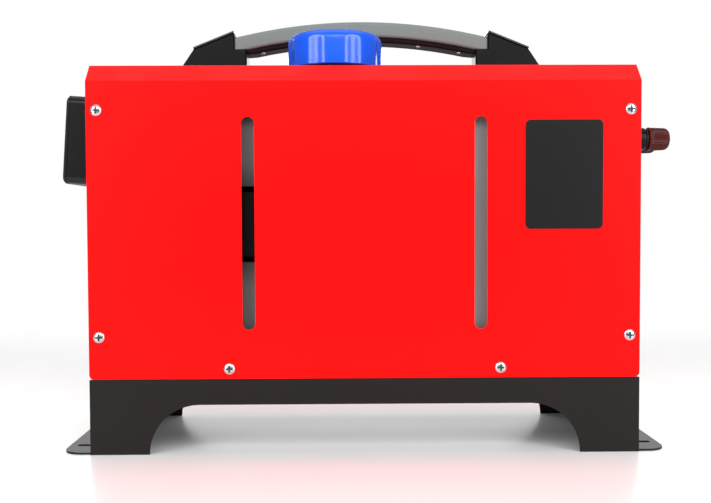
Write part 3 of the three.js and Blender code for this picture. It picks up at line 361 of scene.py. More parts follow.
RED_COAT = Finish(
    "red_powder_coat", "red_paint", (255, 3, 2), 0.36, 0.05,
    grain=1300, depth=0.008, dust=0.02, blotch=0.015, specular=0.12,
)
BLACK_COAT = Finish(
    "black_powder_coat", "black_paint", (29, 26, 26), 0.4, 0.07,
    grain=1500, depth=0.02, dust=0.01, specular=0.15,
)
BLACK_MOULDING = Finish(
    "black_moulding", "black_plastic", (11, 12, 13), 0.34, 0.06,
    grain=1800, depth=0.02, dust=0.0, specular=0.16,
)
BLACK_GLOSS = Finish(
    "black_gloss_moulding", "black_plastic", (14, 15, 16), 0.22, 0.05,
    grain=700, depth=0.004, dust=0.0, specular=0.3,
)
PLATE_FACE = Finish(
    "blank_plate_face", "plate_black", (23, 23, 24), 0.34, 0.05,
    grain=2200, depth=0.006, dust=0.0, specular=0.18,
)
# Grey with a painted cool tint that cancels the red light the deck bounces onto the grip.
GRIP_COOLED_AGAINST_BOUNCE = Finish(
    "grey_grip_painted_counter_tint", "grey_plastic", (113, 123, 121), 0.36, 0.05,
    grain=1600, depth=0.01, dust=0.0, specular=0.4,
)
# Black lightened in colour: partly a painted highlight for the light line along the bracket tops, partly
# the plate's real gloss.
PLATE_EDGE_PAINTED_SHEEN = Finish(
    "polished_black_painted_sheen", "black_plastic", (48, 52, 52), 0.2, 0.03,
    coat=0.6, grain=900, depth=0.003, dust=0.0,
)
BROWN_STRIP = Finish(
    "dark_strip", "black_plastic", (22, 14, 15), 0.45, 0.06,
    grain=1500, depth=0.012, dust=0.0, specular=0.06,
)
BLUE_CAP = Finish(
    "blue_cap", "blue_plastic", (2, 84, 226), 0.24, 0.03,
    coat=0.2, grain=500, depth=0.004, dust=0.0, specular=0.4,
)
MAROON_KNOB = Finish(
    "maroon_knob", "maroon_plastic", (72, 16, 14), 0.32, 0.06,
    coat=0.0, grain=1500, depth=0.01, dust=0.0, specular=0.18,
)
# The tank's wall carries painted shade round its window and to its left.
TANK_WALL = Finish(
    "tank_wall", "tank_plastic", (128, 126, 127), 0.5, 0.08,
    grain=420, depth=0.05, subsurface=0.25, blotch=0.1, lobe=True,
)
DISPLAY = Finish(
    "display_pane", "dark_pane", (12, 18, 20), 0.08, 0.02,
    coat=1.0, grain=300, depth=0.001, dust=0.0,
)
KEY_RUBBER = Finish(
    "key_rubber", "button_rubber", (62, 64, 66), 0.55, 0.06,
    grain=2600, depth=0.02,
)
SEAL_RUBBER = Finish(
    "seal_rubber", "seal_rubber", (18, 18, 18), 0.7, 0.08,
    grain=2400, depth=0.03,
)
ZINC = Finish(
    "zinc_plate", "steel", (196, 198, 202), 0.25, 0.08,
    metallic=1.0, grain=900, depth=0.006, dust=0.0,
)
BLACKENED = Finish(
    "blackened_steel", "steel", (58, 46, 46), 0.45, 0.06,
    metallic=1.0, grain=900, depth=0.01, dust=0.0,
)
# Painted shade: a dark cross that stands for the shadow down in a screw's recess.
PAINTED_RECESS_SHADE = Finish(
    "painted_recess_shade", "steel", (52, 66, 66), 0.6, 0.06,
    grain=900, depth=0.01, dust=0.0, specular=0.2,
)
DARK_STEEL = Finish(
    "oxidised_steel", "steel", (120, 118, 116), 0.4, 0.1,
    metallic=1.0, grain=700, depth=0.02,
)
CAST_METAL = Finish(
    "cast_alloy", "cast_alloy", (150, 150, 152), 0.55, 0.1,
    metallic=1.0, grain=600, depth=0.08,
)
BRASS = Finish(
    "brass_pin", "steel", (190, 160, 95), 0.25, 0.06,
    metallic=1.0, grain=900, depth=0.004, dust=0.0,
)
MARKING = Finish(
    "pale_marking", "plate_black", (205, 207, 208), 0.5, 0.05,
    grain=2000, depth=0.005, dust=0.0,
)


# ---- Solids -------------------------------------------------------------------------------------

class Solid:
    """A mesh being built, in millimetres, upright on its own Z axis until it is placed."""

    def __init__(self) -> None:
        """Starts an empty mesh."""
        self.mesh = bmesh.new()

    @classmethod
    def of_node(cls, node: str) -> "Solid":
        """Copies a CAD node, with its corners merged and its flat faces made whole again.

        Args:
            node: the node's name.

        Returns:
            The copy, where the node stands.
        """
        solid = cls()
        solid.mesh.from_mesh(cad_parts[node].data)
        bmesh.ops.scale(solid.mesh, vec=(1 / MM,) * 3, verts=solid.mesh.verts)
        bmesh.ops.remove_doubles(solid.mesh, verts=solid.mesh.verts, dist=0.005)
        bmesh.ops.dissolve_limit(
            solid.mesh, angle_limit=math.radians(1), verts=solid.mesh.verts, edges=solid.mesh.edges,
        )
        return solid

    @classmethod
    def turned(cls, profile: Sequence[tuple[float, float]], steps: int = 48) -> "Solid":
        """Turns a profile round Z.

        Args:
            profile: (radius, height) pairs, in order; a closed one repeats its first pair.
            steps: how many facets the full turn has.

        Returns:
            The turned solid.
        """
        solid = cls()
        corners = [solid.mesh.verts.new((radius, 0, height)) for radius, height in profile]
        edges = [solid.mesh.edges.new(pair) for pair in zip(corners, corners[1:])]
        bmesh.ops.spin(
            solid.mesh, geom=corners + edges, cent=(0, 0, 0), axis=(0, 0, 1), dvec=(0, 0, 0),
            angle=2 * math.pi, steps=steps, use_merge=True, use_duplicate=False,
        )
        bmesh.ops.remove_doubles(solid.mesh, verts=solid.mesh.verts, dist=0.001)
        return solid

    @classmethod
    def extruded(cls, outline: Sequence[tuple[float, float]], low: float, high: float) -> "Solid":
        """Extrudes an outline in (x, y) up Z.

        Args:
            outline: the outline's corners, in order.
            low: the height of its lower face.
            high: the height of its upper face.

        Returns:
            The extruded solid.
        """
        solid = cls()
        face = solid.mesh.faces.new([solid.mesh.verts.new((x, y, low)) for x, y in outline])
        grown = bmesh.ops.extrude_face_region(solid.mesh, geom=[face])
        raised = [part for part in grown["geom"] if isinstance(part, bmesh.types.BMVert)]
        bmesh.ops.translate(solid.mesh, verts=raised, vec=(0, 0, high - low))
        return solid

    @classmethod
    def swept(cls, section: Sequence[tuple[float, float]], sweep: "Bow", steps: int = 56) -> "Solid":
        """Sweeps a section along a bow in the XZ plane.

        Args:
            section: the section's corners as (y, distance out from the bow's centre).
            sweep: the bow to follow.
            steps: how many facets the sweep has.

        Returns:
            The swept solid, with both ends closed.
        """
        solid = cls()
        corners = [solid.mesh.verts.new((0, y, sweep.centre_z + out)) for y, out in section]
        face = solid.mesh.faces.new(corners)
        centre = (0, 0, sweep.centre_z)
        start = Matrix.Rotation(-sweep.half_angle, 3, "Y")
        bmesh.ops.rotate(solid.mesh, verts=corners, cent=centre, matrix=start)
        grown = bmesh.ops.spin(
            solid.mesh, geom=[face], cent=centre, axis=(0, 1, 0), dvec=(0, 0, 0),
            angle=2 * sweep.half_angle, steps=steps, use_duplicate=False,
        )
        log.debug("swept %d faces", len(grown["geom_last"]))
        return solid

    def soften(
        self, width: float, segments: int = 2, sharper_than: float = 25,
        where: Callable[[Vector], bool] = lambda place: True,
    ) -> "Solid":
        """Rounds the sharp edges.

        Args:
            width: how far the rounding reaches from the edge.
            segments: how many facets it has.
            sharper_than: the least angle of an edge that is rounded, in degrees.
            where: tells whether an edge with a corner at a place is rounded.

        Returns:
            The same solid.
        """
        least = math.radians(sharper_than)
        sharp = [
            edge for edge in self.mesh.edges
            if edge.calc_face_angle(0) > least and all(where(corner.co) for corner in edge.verts)
        ]
        bmesh.ops.bevel(
            self.mesh, geom=sharp, offset=width, offset_type="OFFSET", segments=segments,
            profile=0.5, affect="EDGES", clamp_overlap=True, material=-1,
        )
        return self

    def bend(self, rule: Callable[[Vector], Vector]) -> "Solid":
        """Moves each corner to where a rule puts it, and returns the same solid."""
        for corner in self.mesh.verts:
            corner.co = rule(corner.co.copy())
        return self

    def add(self, other: "Solid") -> "Solid":
        """Takes in another solid's faces, and returns the same solid."""
        spare = bpy.data.meshes.new("spare")
        other.mesh.to_mesh(spare)
        other.mesh.free()
        self.mesh.from_mesh(spare)
        bpy.data.meshes.remove(spare)
        return self

    def place(self, at: Sequence[float], up: Sequence[float] = (0, 0, 1)) -> "Solid":
        """Puts the solid's base at a place.

        Args:
            at: where its origin goes.
            up: the direction that its Z axis then has.

        Returns:
            The same solid.
        """
        turn = Vector((0, 0, 1)).rotation_difference(Vector(up)).to_matrix().to_4x4()
        bmesh.ops.transform(
            self.mesh, matrix=Matrix.Translation(Vector(at)) @ turn, verts=self.mesh.verts,
        )
        return self

    def piece(
        self, name: str, finish: Finish, body: str = "root", nodes: Sequence[str] = (),
        smooth: float = 32,
    ) -> bpy.types.Object:
        """Ends the build as a piece of the object.

        Args:
            name: the piece's name.
            finish: its finish.
            body: the CAD body that it moves with.
            nodes: the CAD nodes that it stands for.
            smooth: the least angle of an edge that stays sharp, in degrees.

        Returns:
            The piece.
        """
        bmesh.ops.remove_doubles(self.mesh, verts=self.mesh.verts, dist=0.001)
        bmesh.ops.recalc_face_normals(self.mesh, faces=self.mesh.faces)
        bmesh.ops.scale(self.mesh, vec=(MM,) * 3, verts=self.mesh.verts)
        data = bpy.data.meshes.new(name)
        self.mesh.to_mesh(data)
        self.mesh.free()
        data.shade_smooth()
        data.set_sharp_from_angle(angle=math.radians(smooth))
        data.materials.append(finish.material())
        made = bpy.data.objects.new(name, data)
        bpy.context.scene.collection.objects.link(made)
        even = made.modifiers.new("even_shading", "WEIGHTED_NORMAL")
        even.keep_sharp, even.weight = True, 100
        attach(made, body)
        if nodes:
            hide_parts(*nodes)
        log.info("%s: %d faces on %s", name, len(data.polygons), body)
        return made


@dataclass(frozen=True)
class Bow:
    """An arc in the XZ plane that is highest over the middle.

    Attributes:
        top: the height of its highest point.
        radius: its radius.
        half_length: how far it reaches to each side.
    """

    top: float
    radius: float
    half_length: float

    @property
    def centre_z(self) -> float:
        """The height of the arc's centre."""
        return self.top - self.radius

    @property
    def half_angle(self) -> float:
        """Half the angle that the arc spans."""
        return math.asin(self.half_length / self.radius)


def rounded_rectangle(
    u: tuple[float, float], v: tuple[float, float], radius: float, steps: int = 5,
) -> list[tuple[float, float]]:
    """Draws a rectangle with round corners.

    Args:
        u: its left and right sides.
        v: its lower and upper sides.
        radius: the radius of its corners.
        steps: how many facets a corner has.

    Returns:
        Its corners, anticlockwise.
    """
    centres = [
        (u[1] - radius, v[0] + radius, -0.5), (u[1] - radius, v[1] - radius, 0.0),
        (u[0] + radius, v[1] - radius, 0.5), (u[0] + radius, v[0] + radius, 1.0),
    ]
    return [
        (x + radius * math.cos(turn), y + radius * math.sin(turn))
        for x, y, start in centres
        for turn in (math.pi * (start + 0.5 * i / steps) for i in range(steps + 1))
    ]


def ring(radius: float, width: float, height: float, steps: int = 32) -> Solid:
    """Makes a flat ring of a width and a height, with its base at the origin."""
    inner = radius - width
    return Solid.turned(
        [(inner, 0), (radius, 0), (radius, height), (inner, height), (inner, 0)], steps,
    )


def screw_head(radius: float, height: float) -> Solid:
    """Makes a domed screw head with a cross recess.

    Args:
        radius: the head's radius.
        height: how far its crown stands up.

    Returns:
        The head, with its base at the origin.
    """
    rim = 0.25 * height
    mouth = 0.5
    arm, half_width, depth = 0.62, 0.166, 0.75 * height

    def dome(share: float) -> float:
        """Gives the crown's height at a share of the radius."""
        return rim + (height - rim) * math.sqrt(max(0.0, 1 - 0.92 * share ** 2))

    rings = [0.0, 0.46, mouth, 0.58, 0.7, 0.82, 0.92, 1.0]
    profile = [(radius * share, dome(share)) for share in rings]
    head = Solid.turned([*profile, (radius, 0)], 48)

    def recess(place: Vector) -> Vector:
        """Draws a corner's ring in to the cross, and sinks what lies inside it."""
        share = math.hypot(place.x, place.y) / radius
        if place.z <= rim - 1e-3 or share < 1e-4:
            return Vector((place.x, place.y, place.z - (depth if place.z > rim else 0)))
        folded = abs((math.atan2(place.y, place.x) + math.pi / 4) % (math.pi / 2) - math.pi / 4)
        edge = min(arm / math.cos(folded), half_width / max(math.sin(folded), 1e-4))
        if share <= mouth + 1e-4:
            moved = edge * share / mouth
        else:
            moved = edge + (1 - edge) * (share - mouth) / (1 - mouth)
        sunk = depth if share < mouth - 1e-3 else 0.0
        return Vector((place.x * moved / share, place.y * moved / share, dome(moved) - sunk))

    return head.bend(recess)


def painted_recess_shade_cross(radius: float, height: float) -> Solid:
    """Makes a dark cross in a screw's recess: painted shade standing for the shadow on the recess's floor.

    Args:
        radius: the screw head's radius.
        height: how far its crown stands up.

    Returns:
        The floor, with the head's base at the origin.
    """
    arm, half_width = 0.56 * radius, 0.145 * radius
    quarter = ((arm, -half_width), (arm, half_width), (half_width, half_width))
    outline = []
    for turn in range(4):
        cos, sin = round(math.cos(turn * math.pi / 2)), round(math.sin(turn * math.pi / 2))
        outline += [(x * cos - y * sin, x * sin + y * cos) for x, y in quarter]
    return Solid.extruded(outline, 0.3 * height, 0.62 * height)


# ---- Case and base ------------------------------------------------------------------------------

@dataclass(frozen=True)
class CaseWork:
    """The folded red sheets of the case, their screws and the blank front plate."""

    fold_round: float = 0.45
    face_y: float = -70.0
    screw_radius: float = 3.9
    screw_height: float = 2.1
    side_screw_x: float = 187.5
    side_screw_z: tuple[float, float] = (83.7, 243.0)
    low_screw_x: float = 96.0
    low_screw_z: float = 61.0

    def build(self) -> None:
        """Builds the sheets, the plate and the cover screws."""
        for node in ("front_cover", "rear_cover", "top_deck", "left_end_panel", "right_end_panel"):
            skin = Solid.of_node(node).soften(self.fold_round)
            skin.piece(f"{node}_skin", RED_COAT, nodes=(node,))
        plate = Solid.of_node("rating_plate").soften(0.12)
        plate.piece("blank_plate", PLATE_FACE, nodes=("rating_plate",))
        self.screws()

    def screws(self) -> None:
        """Sets a screw in each hole of both covers, with a cross of painted shade in its recess."""
        places = [(side * self.side_screw_x, z) for side in (-1, 1) for z in self.side_screw_z]
        places += [(side * self.low_screw_x, self.low_screw_z) for side in (-1, 1)]
        for end, facing in (("front", -1), ("rear", 1)):
            for i, (x, z) in enumerate(places):
                at, up = (x, -facing * self.face_y, z), (0, facing, 0)
                head = screw_head(self.screw_radius, self.screw_height).place(at, up)
                head.piece(f"{end}_cover_screw_{i + 1}", ZINC, smooth=40)
                # A dark cross of painted shade sits in each screw's recess.
                socket = painted_recess_shade_cross(self.screw_radius, self.screw_height).place(at, up)
                socket.piece(f"{end}_cover_recess_shade_{i + 1}", PAINTED_RECESS_SHADE)


@dataclass(frozen=True)
class BaseFrame:
    """The black base: its arched tray and two feet."""

    edge_round: float = 0.4

    def build(self) -> None:
        """Builds the tray and the feet."""
        for node in ("base_tray", "left_foot", "right_foot"):
            skin = Solid.of_node(node).soften(self.edge_round)
            skin.piece(f"{node}_skin", BLACK_COAT, nodes=(node,))


# ---- Filler -------------------------------------------------------------------------------------

@dataclass(frozen=True)
class FillerCap:
    """The blue screw cap with its shallow grooves."""

    centre: tuple[float, float] = (-20.7, -19.0)
    radius: float = 35.0
    low: float = 278.1
    high: float = 305.1
    dome: float = 1.6
    shoulder: float = 7.0
    bore: float = 26.0
    roof: float = 4.5
    grooves: int = 8
    groove_depth: float = 1.0
    groove_share: float = 0.54

    def build(self) -> None:
        """Builds the cap, with its top fading smoothly out of the grooves."""
        turn_z = self.high - self.dome - self.shoulder
        crown = [
            (self.radius - self.shoulder * (1 - math.cos(turn)), turn_z + self.shoulder * math.sin(turn))
            for turn in (math.pi / 2 * i / 10 for i in range(11))
        ]
        rim_radius, rim_height = crown[-1]
        shares = [1 - i / 6 for i in (2, 4, 5)]
        top = [(rim_radius * share, rim_height + self.dome * (1 - share ** 2)) for share in shares]
        skirt = [
            (self.bore, self.low), (self.radius - 1.0, self.low), (self.radius - 0.3, self.low + 0.3),
            (self.radius, self.low + 1.0), (self.radius, self.low + 6), (self.radius, turn_z - 3),
        ]
        inside = self.high - self.roof
        profile = [*skirt, *crown, *top, (0, self.high)]
        cap = Solid.turned(profile, 192)
        cap.add(Solid.turned([(self.bore, self.low), (self.bore, inside), (0, inside)], 192))
        cap.bend(self.groove).place((*self.centre, 0))
        cap.piece("filler_cap_shell", BLUE_CAP, "cap", nodes=("filler_cap",), smooth=50)

    def groove(self, place: Vector) -> Vector:
        """Presses a corner of the skirt into the nearest groove."""
        out = math.hypot(place.x, place.y)
        if out <= self.bore + 1e-3:
            return place
        pitch = 2 * math.pi / self.grooves
        turn = (math.atan2(place.y, place.x) / pitch) % 1.0
        from_middle = abs(turn - 0.5) / (self.groove_share / 2)
        if from_middle >= 1:
            return place
        press = self.groove_depth * 0.5 * (1 + math.cos(math.pi * from_middle))
        fade = min(1.0, max(0.0, (self.high - self.dome - place.z) / self.shoulder))
        share = 1 - press * fade * fade / out
        return Vector((place.x * share, place.y * share, place.z))


# ---- Carrying handle ----------------------------------------------------------------------------

@dataclass(frozen=True)
class CarryHandle:
    """The bowed grey grip, the dark strip under it and the two black brackets."""

    grip: Bow = Bow(323.7, 422.6, 109.8)
    grip_y: tuple[float, float] = (25.3, 46.7)
    grip_thickness: float = 12.0
    grip_round: float = 2.2
    strip_end: float = 90.7
    strip_end_from: float = 85.5
    strip_half_length: float = 90.0
    strip_y: tuple[float, float] = (26.0, 46.0)
    strip_thickness: float = 4.0
    strip_gap: float = 0.3
    bolt_radius: float = 1.8
    bolt_at: tuple[float, float] = (45.6, 78.4)
    plate_line: tuple[tuple[float, float], ...] = ((100.9, 315.2), (133.2, 302.2))
    plate_y: tuple[float, float] = (22.4, 49.6)
    plate_thickness: float = 1.5
    plate_sink: float = 0.3

    def build(self) -> None:
        """Builds the grip, the strip, the brackets and their bolts."""
        out = (self.grip.radius - self.grip_thickness, self.grip.radius)
        section = rounded_rectangle(self.grip_y, out, self.grip_round)
        grip = Solid.swept(section, self.grip)
        # The grip's cool tint is painted in against the red light bounced up from the deck.
        grip.piece("handle_grip_bar", GRIP_COOLED_AGAINST_BOUNCE, nodes=("handle_grip",))
        under = out[0] - self.strip_gap
        strip_bow = Bow(self.grip.top, self.grip.radius, self.strip_half_length)
        section = rounded_rectangle(self.strip_y, (under - self.strip_thickness, under), 1.2, 3)
        strip = Solid.swept(section, strip_bow).bend(self.square_end)
        strip.piece("handle_strip_bar", BROWN_STRIP, nodes=("handle_under_strip",))
        for side, name in ((-1, "left"), (1, "right")):
            node = f"handle_{name}_bracket"
            bracket = Solid.of_node(node).soften(0.9, 4)
            bracket.piece(f"{node}_body", BLACK_MOULDING, nodes=(node,))
            # The top plate's lightened colour paints in part of the light line along the bracket's top.
            self.top_plate(side).piece(f"{node}_top_plate", PLATE_EDGE_PAINTED_SHEEN)
            self.bolts(side, name)

    def top_plate(self, side: int) -> Solid:
        """Makes the thin plate on the sloping top of a bracket.

        Args:
            side: -1 for the left bracket, 1 for the right one.

        Returns:
            The plate, in place.
        """
        (near_x, near_z), (far_x, far_z) = self.plate_line
        slope = math.atan2(near_z - far_z, far_x - near_x)
        rise = Vector((math.sin(slope), math.cos(slope)))
        low, high = -self.plate_sink * rise, (self.plate_thickness - self.plate_sink) * rise
        ends = (Vector((near_x, near_z)), Vector((far_x, far_z)))
        outline = [ends[0] + low, ends[1] + low, ends[1] + high, ends[0] + high]
        front, back = self.plate_y
        plate = Solid.extruded([(side * x, z) for x, z in outline], -back, -front)
        bmesh.ops.transform(plate.mesh, matrix=Matrix.Rotation(math.pi / 2, 4, "X"), verts=plate.mesh.verts)
        return plate.soften(0.25)

    def square_end(self, place: Vector) -> Vector:
        """Brings a corner at either end of the strip up against the bracket."""
        if abs(place.x) > self.strip_end_from:
            place.x = math.copysign(self.strip_end, place.x)
        return place

    def bolts(self, side: int, name: str) -> None:
        """Sets the small bolts under the strip, on one side of the middle.

        Args:
            side: -1 for the left half, 1 for the right.
            name: the side's name.
        """
        reach = self.grip.radius - self.grip_thickness - self.strip_gap - self.strip_thickness
        middle_y = sum(self.strip_y) / 2
        for i, x in enumerate(self.bolt_at):
            turn = math.asin(x / reach) * side
            direction = Vector((math.sin(turn), 0, math.cos(turn)))
            at = Vector((0, middle_y - 7, self.grip.centre_z)) + direction * (reach + 0.1)
            bolt = screw_head(self.bolt_radius, 1.2).place(at, -direction)
            bolt.piece(f"handle_{name}_bolt_{i + 1}", ZINC, smooth=40)


# ---- Controller ---------------------------------------------------------------------------------

@dataclass(frozen=True)
class Controller:
    """The controller in its holder on the left end, with its pane and five keys."""

    face_centre: tuple[float, float, float] = (-193.8, 11.9, 224.384)
    tilt: float = 0.066
    reach: float = 26.0
    key_row: float = -17.0
    key_pitch: float = 16.5
    key_proud: float = 1.2
    mark_height: float = 0.08

    def build(self) -> None:
        """Builds the holder, the body, the pane and the keys with their marks."""
        for node, finish, width in (
            ("controller_holder", BLACK_COAT, 0.3), ("controller_body", BLACK_GLOSS, 0.8),
            ("controller_window", DISPLAY, 0.15),
        ):
            Solid.of_node(node).soften(width).piece(f"{node}_skin", finish, nodes=(node,))
        marks: dict[str, Solid] = {
            "power": ring(1.7, 0.4, self.mark_height, 24),
            "menu": self.bars(),
            "up": Solid.extruded([(-1.4, -1.0), (1.4, -1.0), (0, 1.5)], 0, self.mark_height),
            "down": Solid.extruded([(-1.4, 1.0), (0, -1.5), (1.4, 1.0)], 0, self.mark_height),
            "confirm": ring(0.9, 0.85, self.mark_height, 16),
        }
        for place, (key, mark) in enumerate(marks.items()):
            body, node = f"key_{key}", f"button_{key}"
            Solid.of_node(node).soften(0.3, 3).piece(f"{node}_cap", KEY_RUBBER, body, (node,))
            along = (place - (len(marks) - 1) / 2) * self.key_pitch
            self.stand(mark, along).piece(f"{node}_mark", MARKING, body)

    def bars(self) -> Solid:
        """Draws the menu key's three bars."""
        bars = Solid()
        for y in (-1.2, 0.0, 1.2):
            bars.add(Solid.extruded(
                [(-1.5, y - 0.2), (1.5, y - 0.2), (1.5, y + 0.2), (-1.5, y + 0.2)], 0, self.mark_height,
            ))
        return bars

    def stand(self, mark: Solid, along: float) -> Solid:
        """Lays a mark on the face of a key.

        Args:
            mark: the mark, drawn upright in (x, y).
            along: how far the key is from the row's middle, towards the back.

        Returns:
            The same mark, in place.
        """
        lay = Matrix(((0, 0, -1, 0), (-1, 0, 0, 0), (0, 1, 0, 0), (0, 0, 0, 1)))
        out = Matrix.Translation((-self.reach - self.key_proud - 0.02, along, self.key_row))
        tilt = Matrix.Rotation(self.tilt, 4, "Y")
        place = Matrix.Translation(self.face_centre) @ tilt @ out @ lay
        bmesh.ops.transform(mark.mesh, matrix=place, verts=mark.mesh.verts)
        return mark


# ---- Right end ----------------------------------------------------------------------------------

@dataclass(frozen=True)
class BindingPosts:
    """The two binding posts: collar, washer, ribbed knob and stud each."""

    face_x: float = 193.8
    height: float = 223.8
    places: tuple[tuple[str, float], ...] = (("red", -45.0), ("black", -15.0))
    collar_radius: float = 8.2
    collar_length: float = 10.8
    washer_radius: float = 7.0
    knob_radius: float = 8.6
    knob_length: float = 15.6
    stud_radius: float = 3.0
    ribs: int = 30
    rib_depth: float = 0.45

    def build(self) -> None:
        """Builds both posts."""
        for colour, y in self.places:
            finish = MAROON_KNOB if colour == "red" else BLACK_GLOSS
            self.post(colour, y, finish)

    def post(self, colour: str, y: float, finish: Finish) -> None:
        """Builds one post.

        Args:
            colour: the post's colour, which starts its nodes' names.
            y: where it stands.
            finish: the finish of its knob.
        """
        clear, out = self.stud_radius + 0.3, self.collar_radius
        length = self.collar_length
        collar = [
            (clear, 0), (out, 0), (out, 3.0), (out - 0.5, 3.5), (out - 0.5, 4.5), (out, 5.0),
            (out, length - 1.2), (out - 0.35, length - 0.35), (out - 1.2, length), (clear, length),
            (clear, 0),
        ]
        washer_at = length + 0.3
        wide = self.washer_radius
        washer = [
            (clear, washer_at), (wide - 0.2, washer_at), (wide, washer_at + 0.2), (wide, washer_at + 1.0),
            (wide - 0.2, washer_at + 1.2), (clear, washer_at + 1.2), (clear, washer_at),
        ]
        at, up = (self.face_x, y, self.height), (1, 0, 0)
        node = f"{colour}_post_collar"
        Solid.turned(collar).place(at, up).piece(f"{node}_ring", BLACK_MOULDING, nodes=(node,))
        node = f"{colour}_post_washer"
        Solid.turned(washer).place(at, up).piece(f"{node}_ring", BLACKENED, f"{colour}_clamp", (node,))
        knob = self.knob(washer_at + 1.5).place(at, up)
        knob.piece(f"{colour}_post_grip", finish, f"{colour}_knob", (f"{colour}_post_knob",))

    def knob(self, low: float) -> Solid:
        """Turns a ribbed barrel, a little wider at its inner end, with a round outer end.

        Args:
            low: the height of its inner end above the end panel.

        Returns:
            The knob.
        """
        radius, length = self.knob_radius, self.knob_length
        side = [(radius - 0.7, 0), (radius - 0.15, 0.3), (radius, 1.0), (radius - 0.25, 2.4)]
        side += [(radius - 0.25 - 0.3 * i / 5, 2.4 + 9.0 * i / 5) for i in range(1, 6)]
        last = side[-1][0]
        end = [
            (last - 3.4 * (1 - math.cos(turn)), 11.4 + (length - 11.4) * math.sin(turn))
            for turn in (math.pi / 2 * i / 7 for i in range(1, 8))
        ]
        bore = self.stud_radius + 0.3
        profile = [(0, 12), (bore, 12), (bore, 0), *side, *end, (0, length)]
        knob = Solid.turned([(out, low + rise) for out, rise in profile], 6 * self.ribs)

        def rib(place: Vector) -> Vector:
            """Cuts the ribs into the barrel's side."""
            out, rise = math.hypot(place.x, place.y), place.z - low
            if out < radius - 2.2 or not 1.6 < rise < 13.4:
                return place
            turn = math.atan2(place.y, place.x) * self.ribs
            share = 1 - self.rib_depth * 0.5 * (1 - math.cos(turn)) / out
            return Vector((place.x * share, place.y * share, place.z))

        return knob.bend(rib)


@dataclass(frozen=True)
class MainsInlet:
    """The mains inlet, with brass pins and a rocker switch."""

    face_x: float = 196.3
    centre: tuple[float, float] = (36.0, 216.0)
    pin_pitch: float = 7.0
    pin_reach: float = 6.4
    socket_depth: float = 16.0
    socket_drop: float = 12.0
    side_pin_drop: float = 1.0
    middle_pin_rise: float = 1.5

    def build(self) -> None:
        """Builds the housing, the pins and the rocker."""
        Solid.of_node("mains_inlet").soften(0.3).piece(
            "mains_inlet_body", BLACK_MOULDING, nodes=("mains_inlet",),
        )
        y, z = self.centre
        for place in (-1, 0, 1):
            middle = y + place * self.pin_pitch
            rise = z - self.socket_drop + (-self.side_pin_drop if place else self.middle_pin_rise)
            outline = [(-1.12, -2.12), (1.12, -2.12), (1.12, 2.12), (-1.12, 2.12)]
            pin = Solid.extruded(outline, self.face_x - self.socket_depth, self.face_x - self.pin_reach)
            pin.soften(0.4)
            turn = Matrix(((0, 0, 1, 0), (1, 0, 0, middle), (0, 1, 0, rise), (0, 0, 0, 1)))
            bmesh.ops.transform(pin.mesh, matrix=turn, verts=pin.mesh.verts)
            pin.piece(f"mains_pin_{place + 2}", BRASS)
        Solid.of_node("power_rocker").soften(0.3).piece(
            "power_rocker_cap", KEY_RUBBER, "rocker", ("power_rocker",),
        )


@dataclass(frozen=True)
class OutletDuct:
    """The hot air collar on the left end, with its four screws."""

    axis_z: float = 126.0
    radius: float = 37.5
    wall: float = 2.0
    lip_x: float = -203.0
    back_x: float = -193.8
    inner_x: float = -180.3
    flange: float = 9.0
    screw_circle: float = 42.2

    def build(self) -> None:
        """Builds the collar and its screws."""
        out, bore = self.radius, self.radius - self.wall
        lip, back, inner = -self.lip_x, -self.back_x, -self.inner_x
        wide, face = out + self.flange, back + 2.0
        profile = [
            (bore, inner), (out, inner), (out, back), (wide, back), (wide, face - 0.5),
            (wide - 0.15, face - 0.15), (wide - 0.5, face), (out + 1.2, face), (out + 0.35, face + 0.35),
            (out, face + 1.2), (out, lip - 2.6), (out + 0.6, lip - 1.9), (out + 0.8, lip - 1.2),
            (out + 0.6, lip - 0.5), (out, lip), (bore + 0.4, lip), (bore, lip - 0.4), (bore, inner),
        ]
        collar = Solid.turned(profile, 96).place((0, 0, self.axis_z), (-1, 0, 0))
        collar.piece("outlet_collar_ring", BLACK_MOULDING, nodes=("outlet_collar",))
        for i in range(4):
            turn = math.pi / 4 + i * math.pi / 2
            at = (
                -face, self.screw_circle * math.cos(turn), self.axis_z + self.screw_circle * math.sin(turn),
            )
            screw_head(2.8, 1.7).place(at, (-1, 0, 0)).piece(f"outlet_screw_{i + 1}", ZINC, smooth=40)


# ---- Inside the case ----------------------------------------------------------------------------

@dataclass(frozen=True)
class FuelTank:
    """The moulded tank, with the front edges of its lobe rounded."""

    edge_round: float = 5.0
    lobe_front: float = -61.9
    window_end: tuple[float, float, float] = (48.0, 134.0, 192.0)
    window_pull: float = 10.0
    window_reach: float = 40.0
    window_front: float = -47.0

    def build(self) -> None:
        """Builds the tank."""
        tank = Solid.of_node("fuel_tank").soften(
            self.edge_round, 5, where=lambda corner: corner.y < self.lobe_front,
        )
        tank.bend(self.shorten).piece("fuel_tank_moulding", TANK_WALL, nodes=("fuel_tank",), smooth=50)


    def shorten(self, place: Vector) -> Vector:
        """Draws the right end of the lobe's window clear of the right sight slot."""
        right, low, high = self.window_end
        beside = right < place.x < right + self.window_reach
        if beside and place.y < self.window_front and low < place.z < high:
            place.x -= self.window_pull
        return place


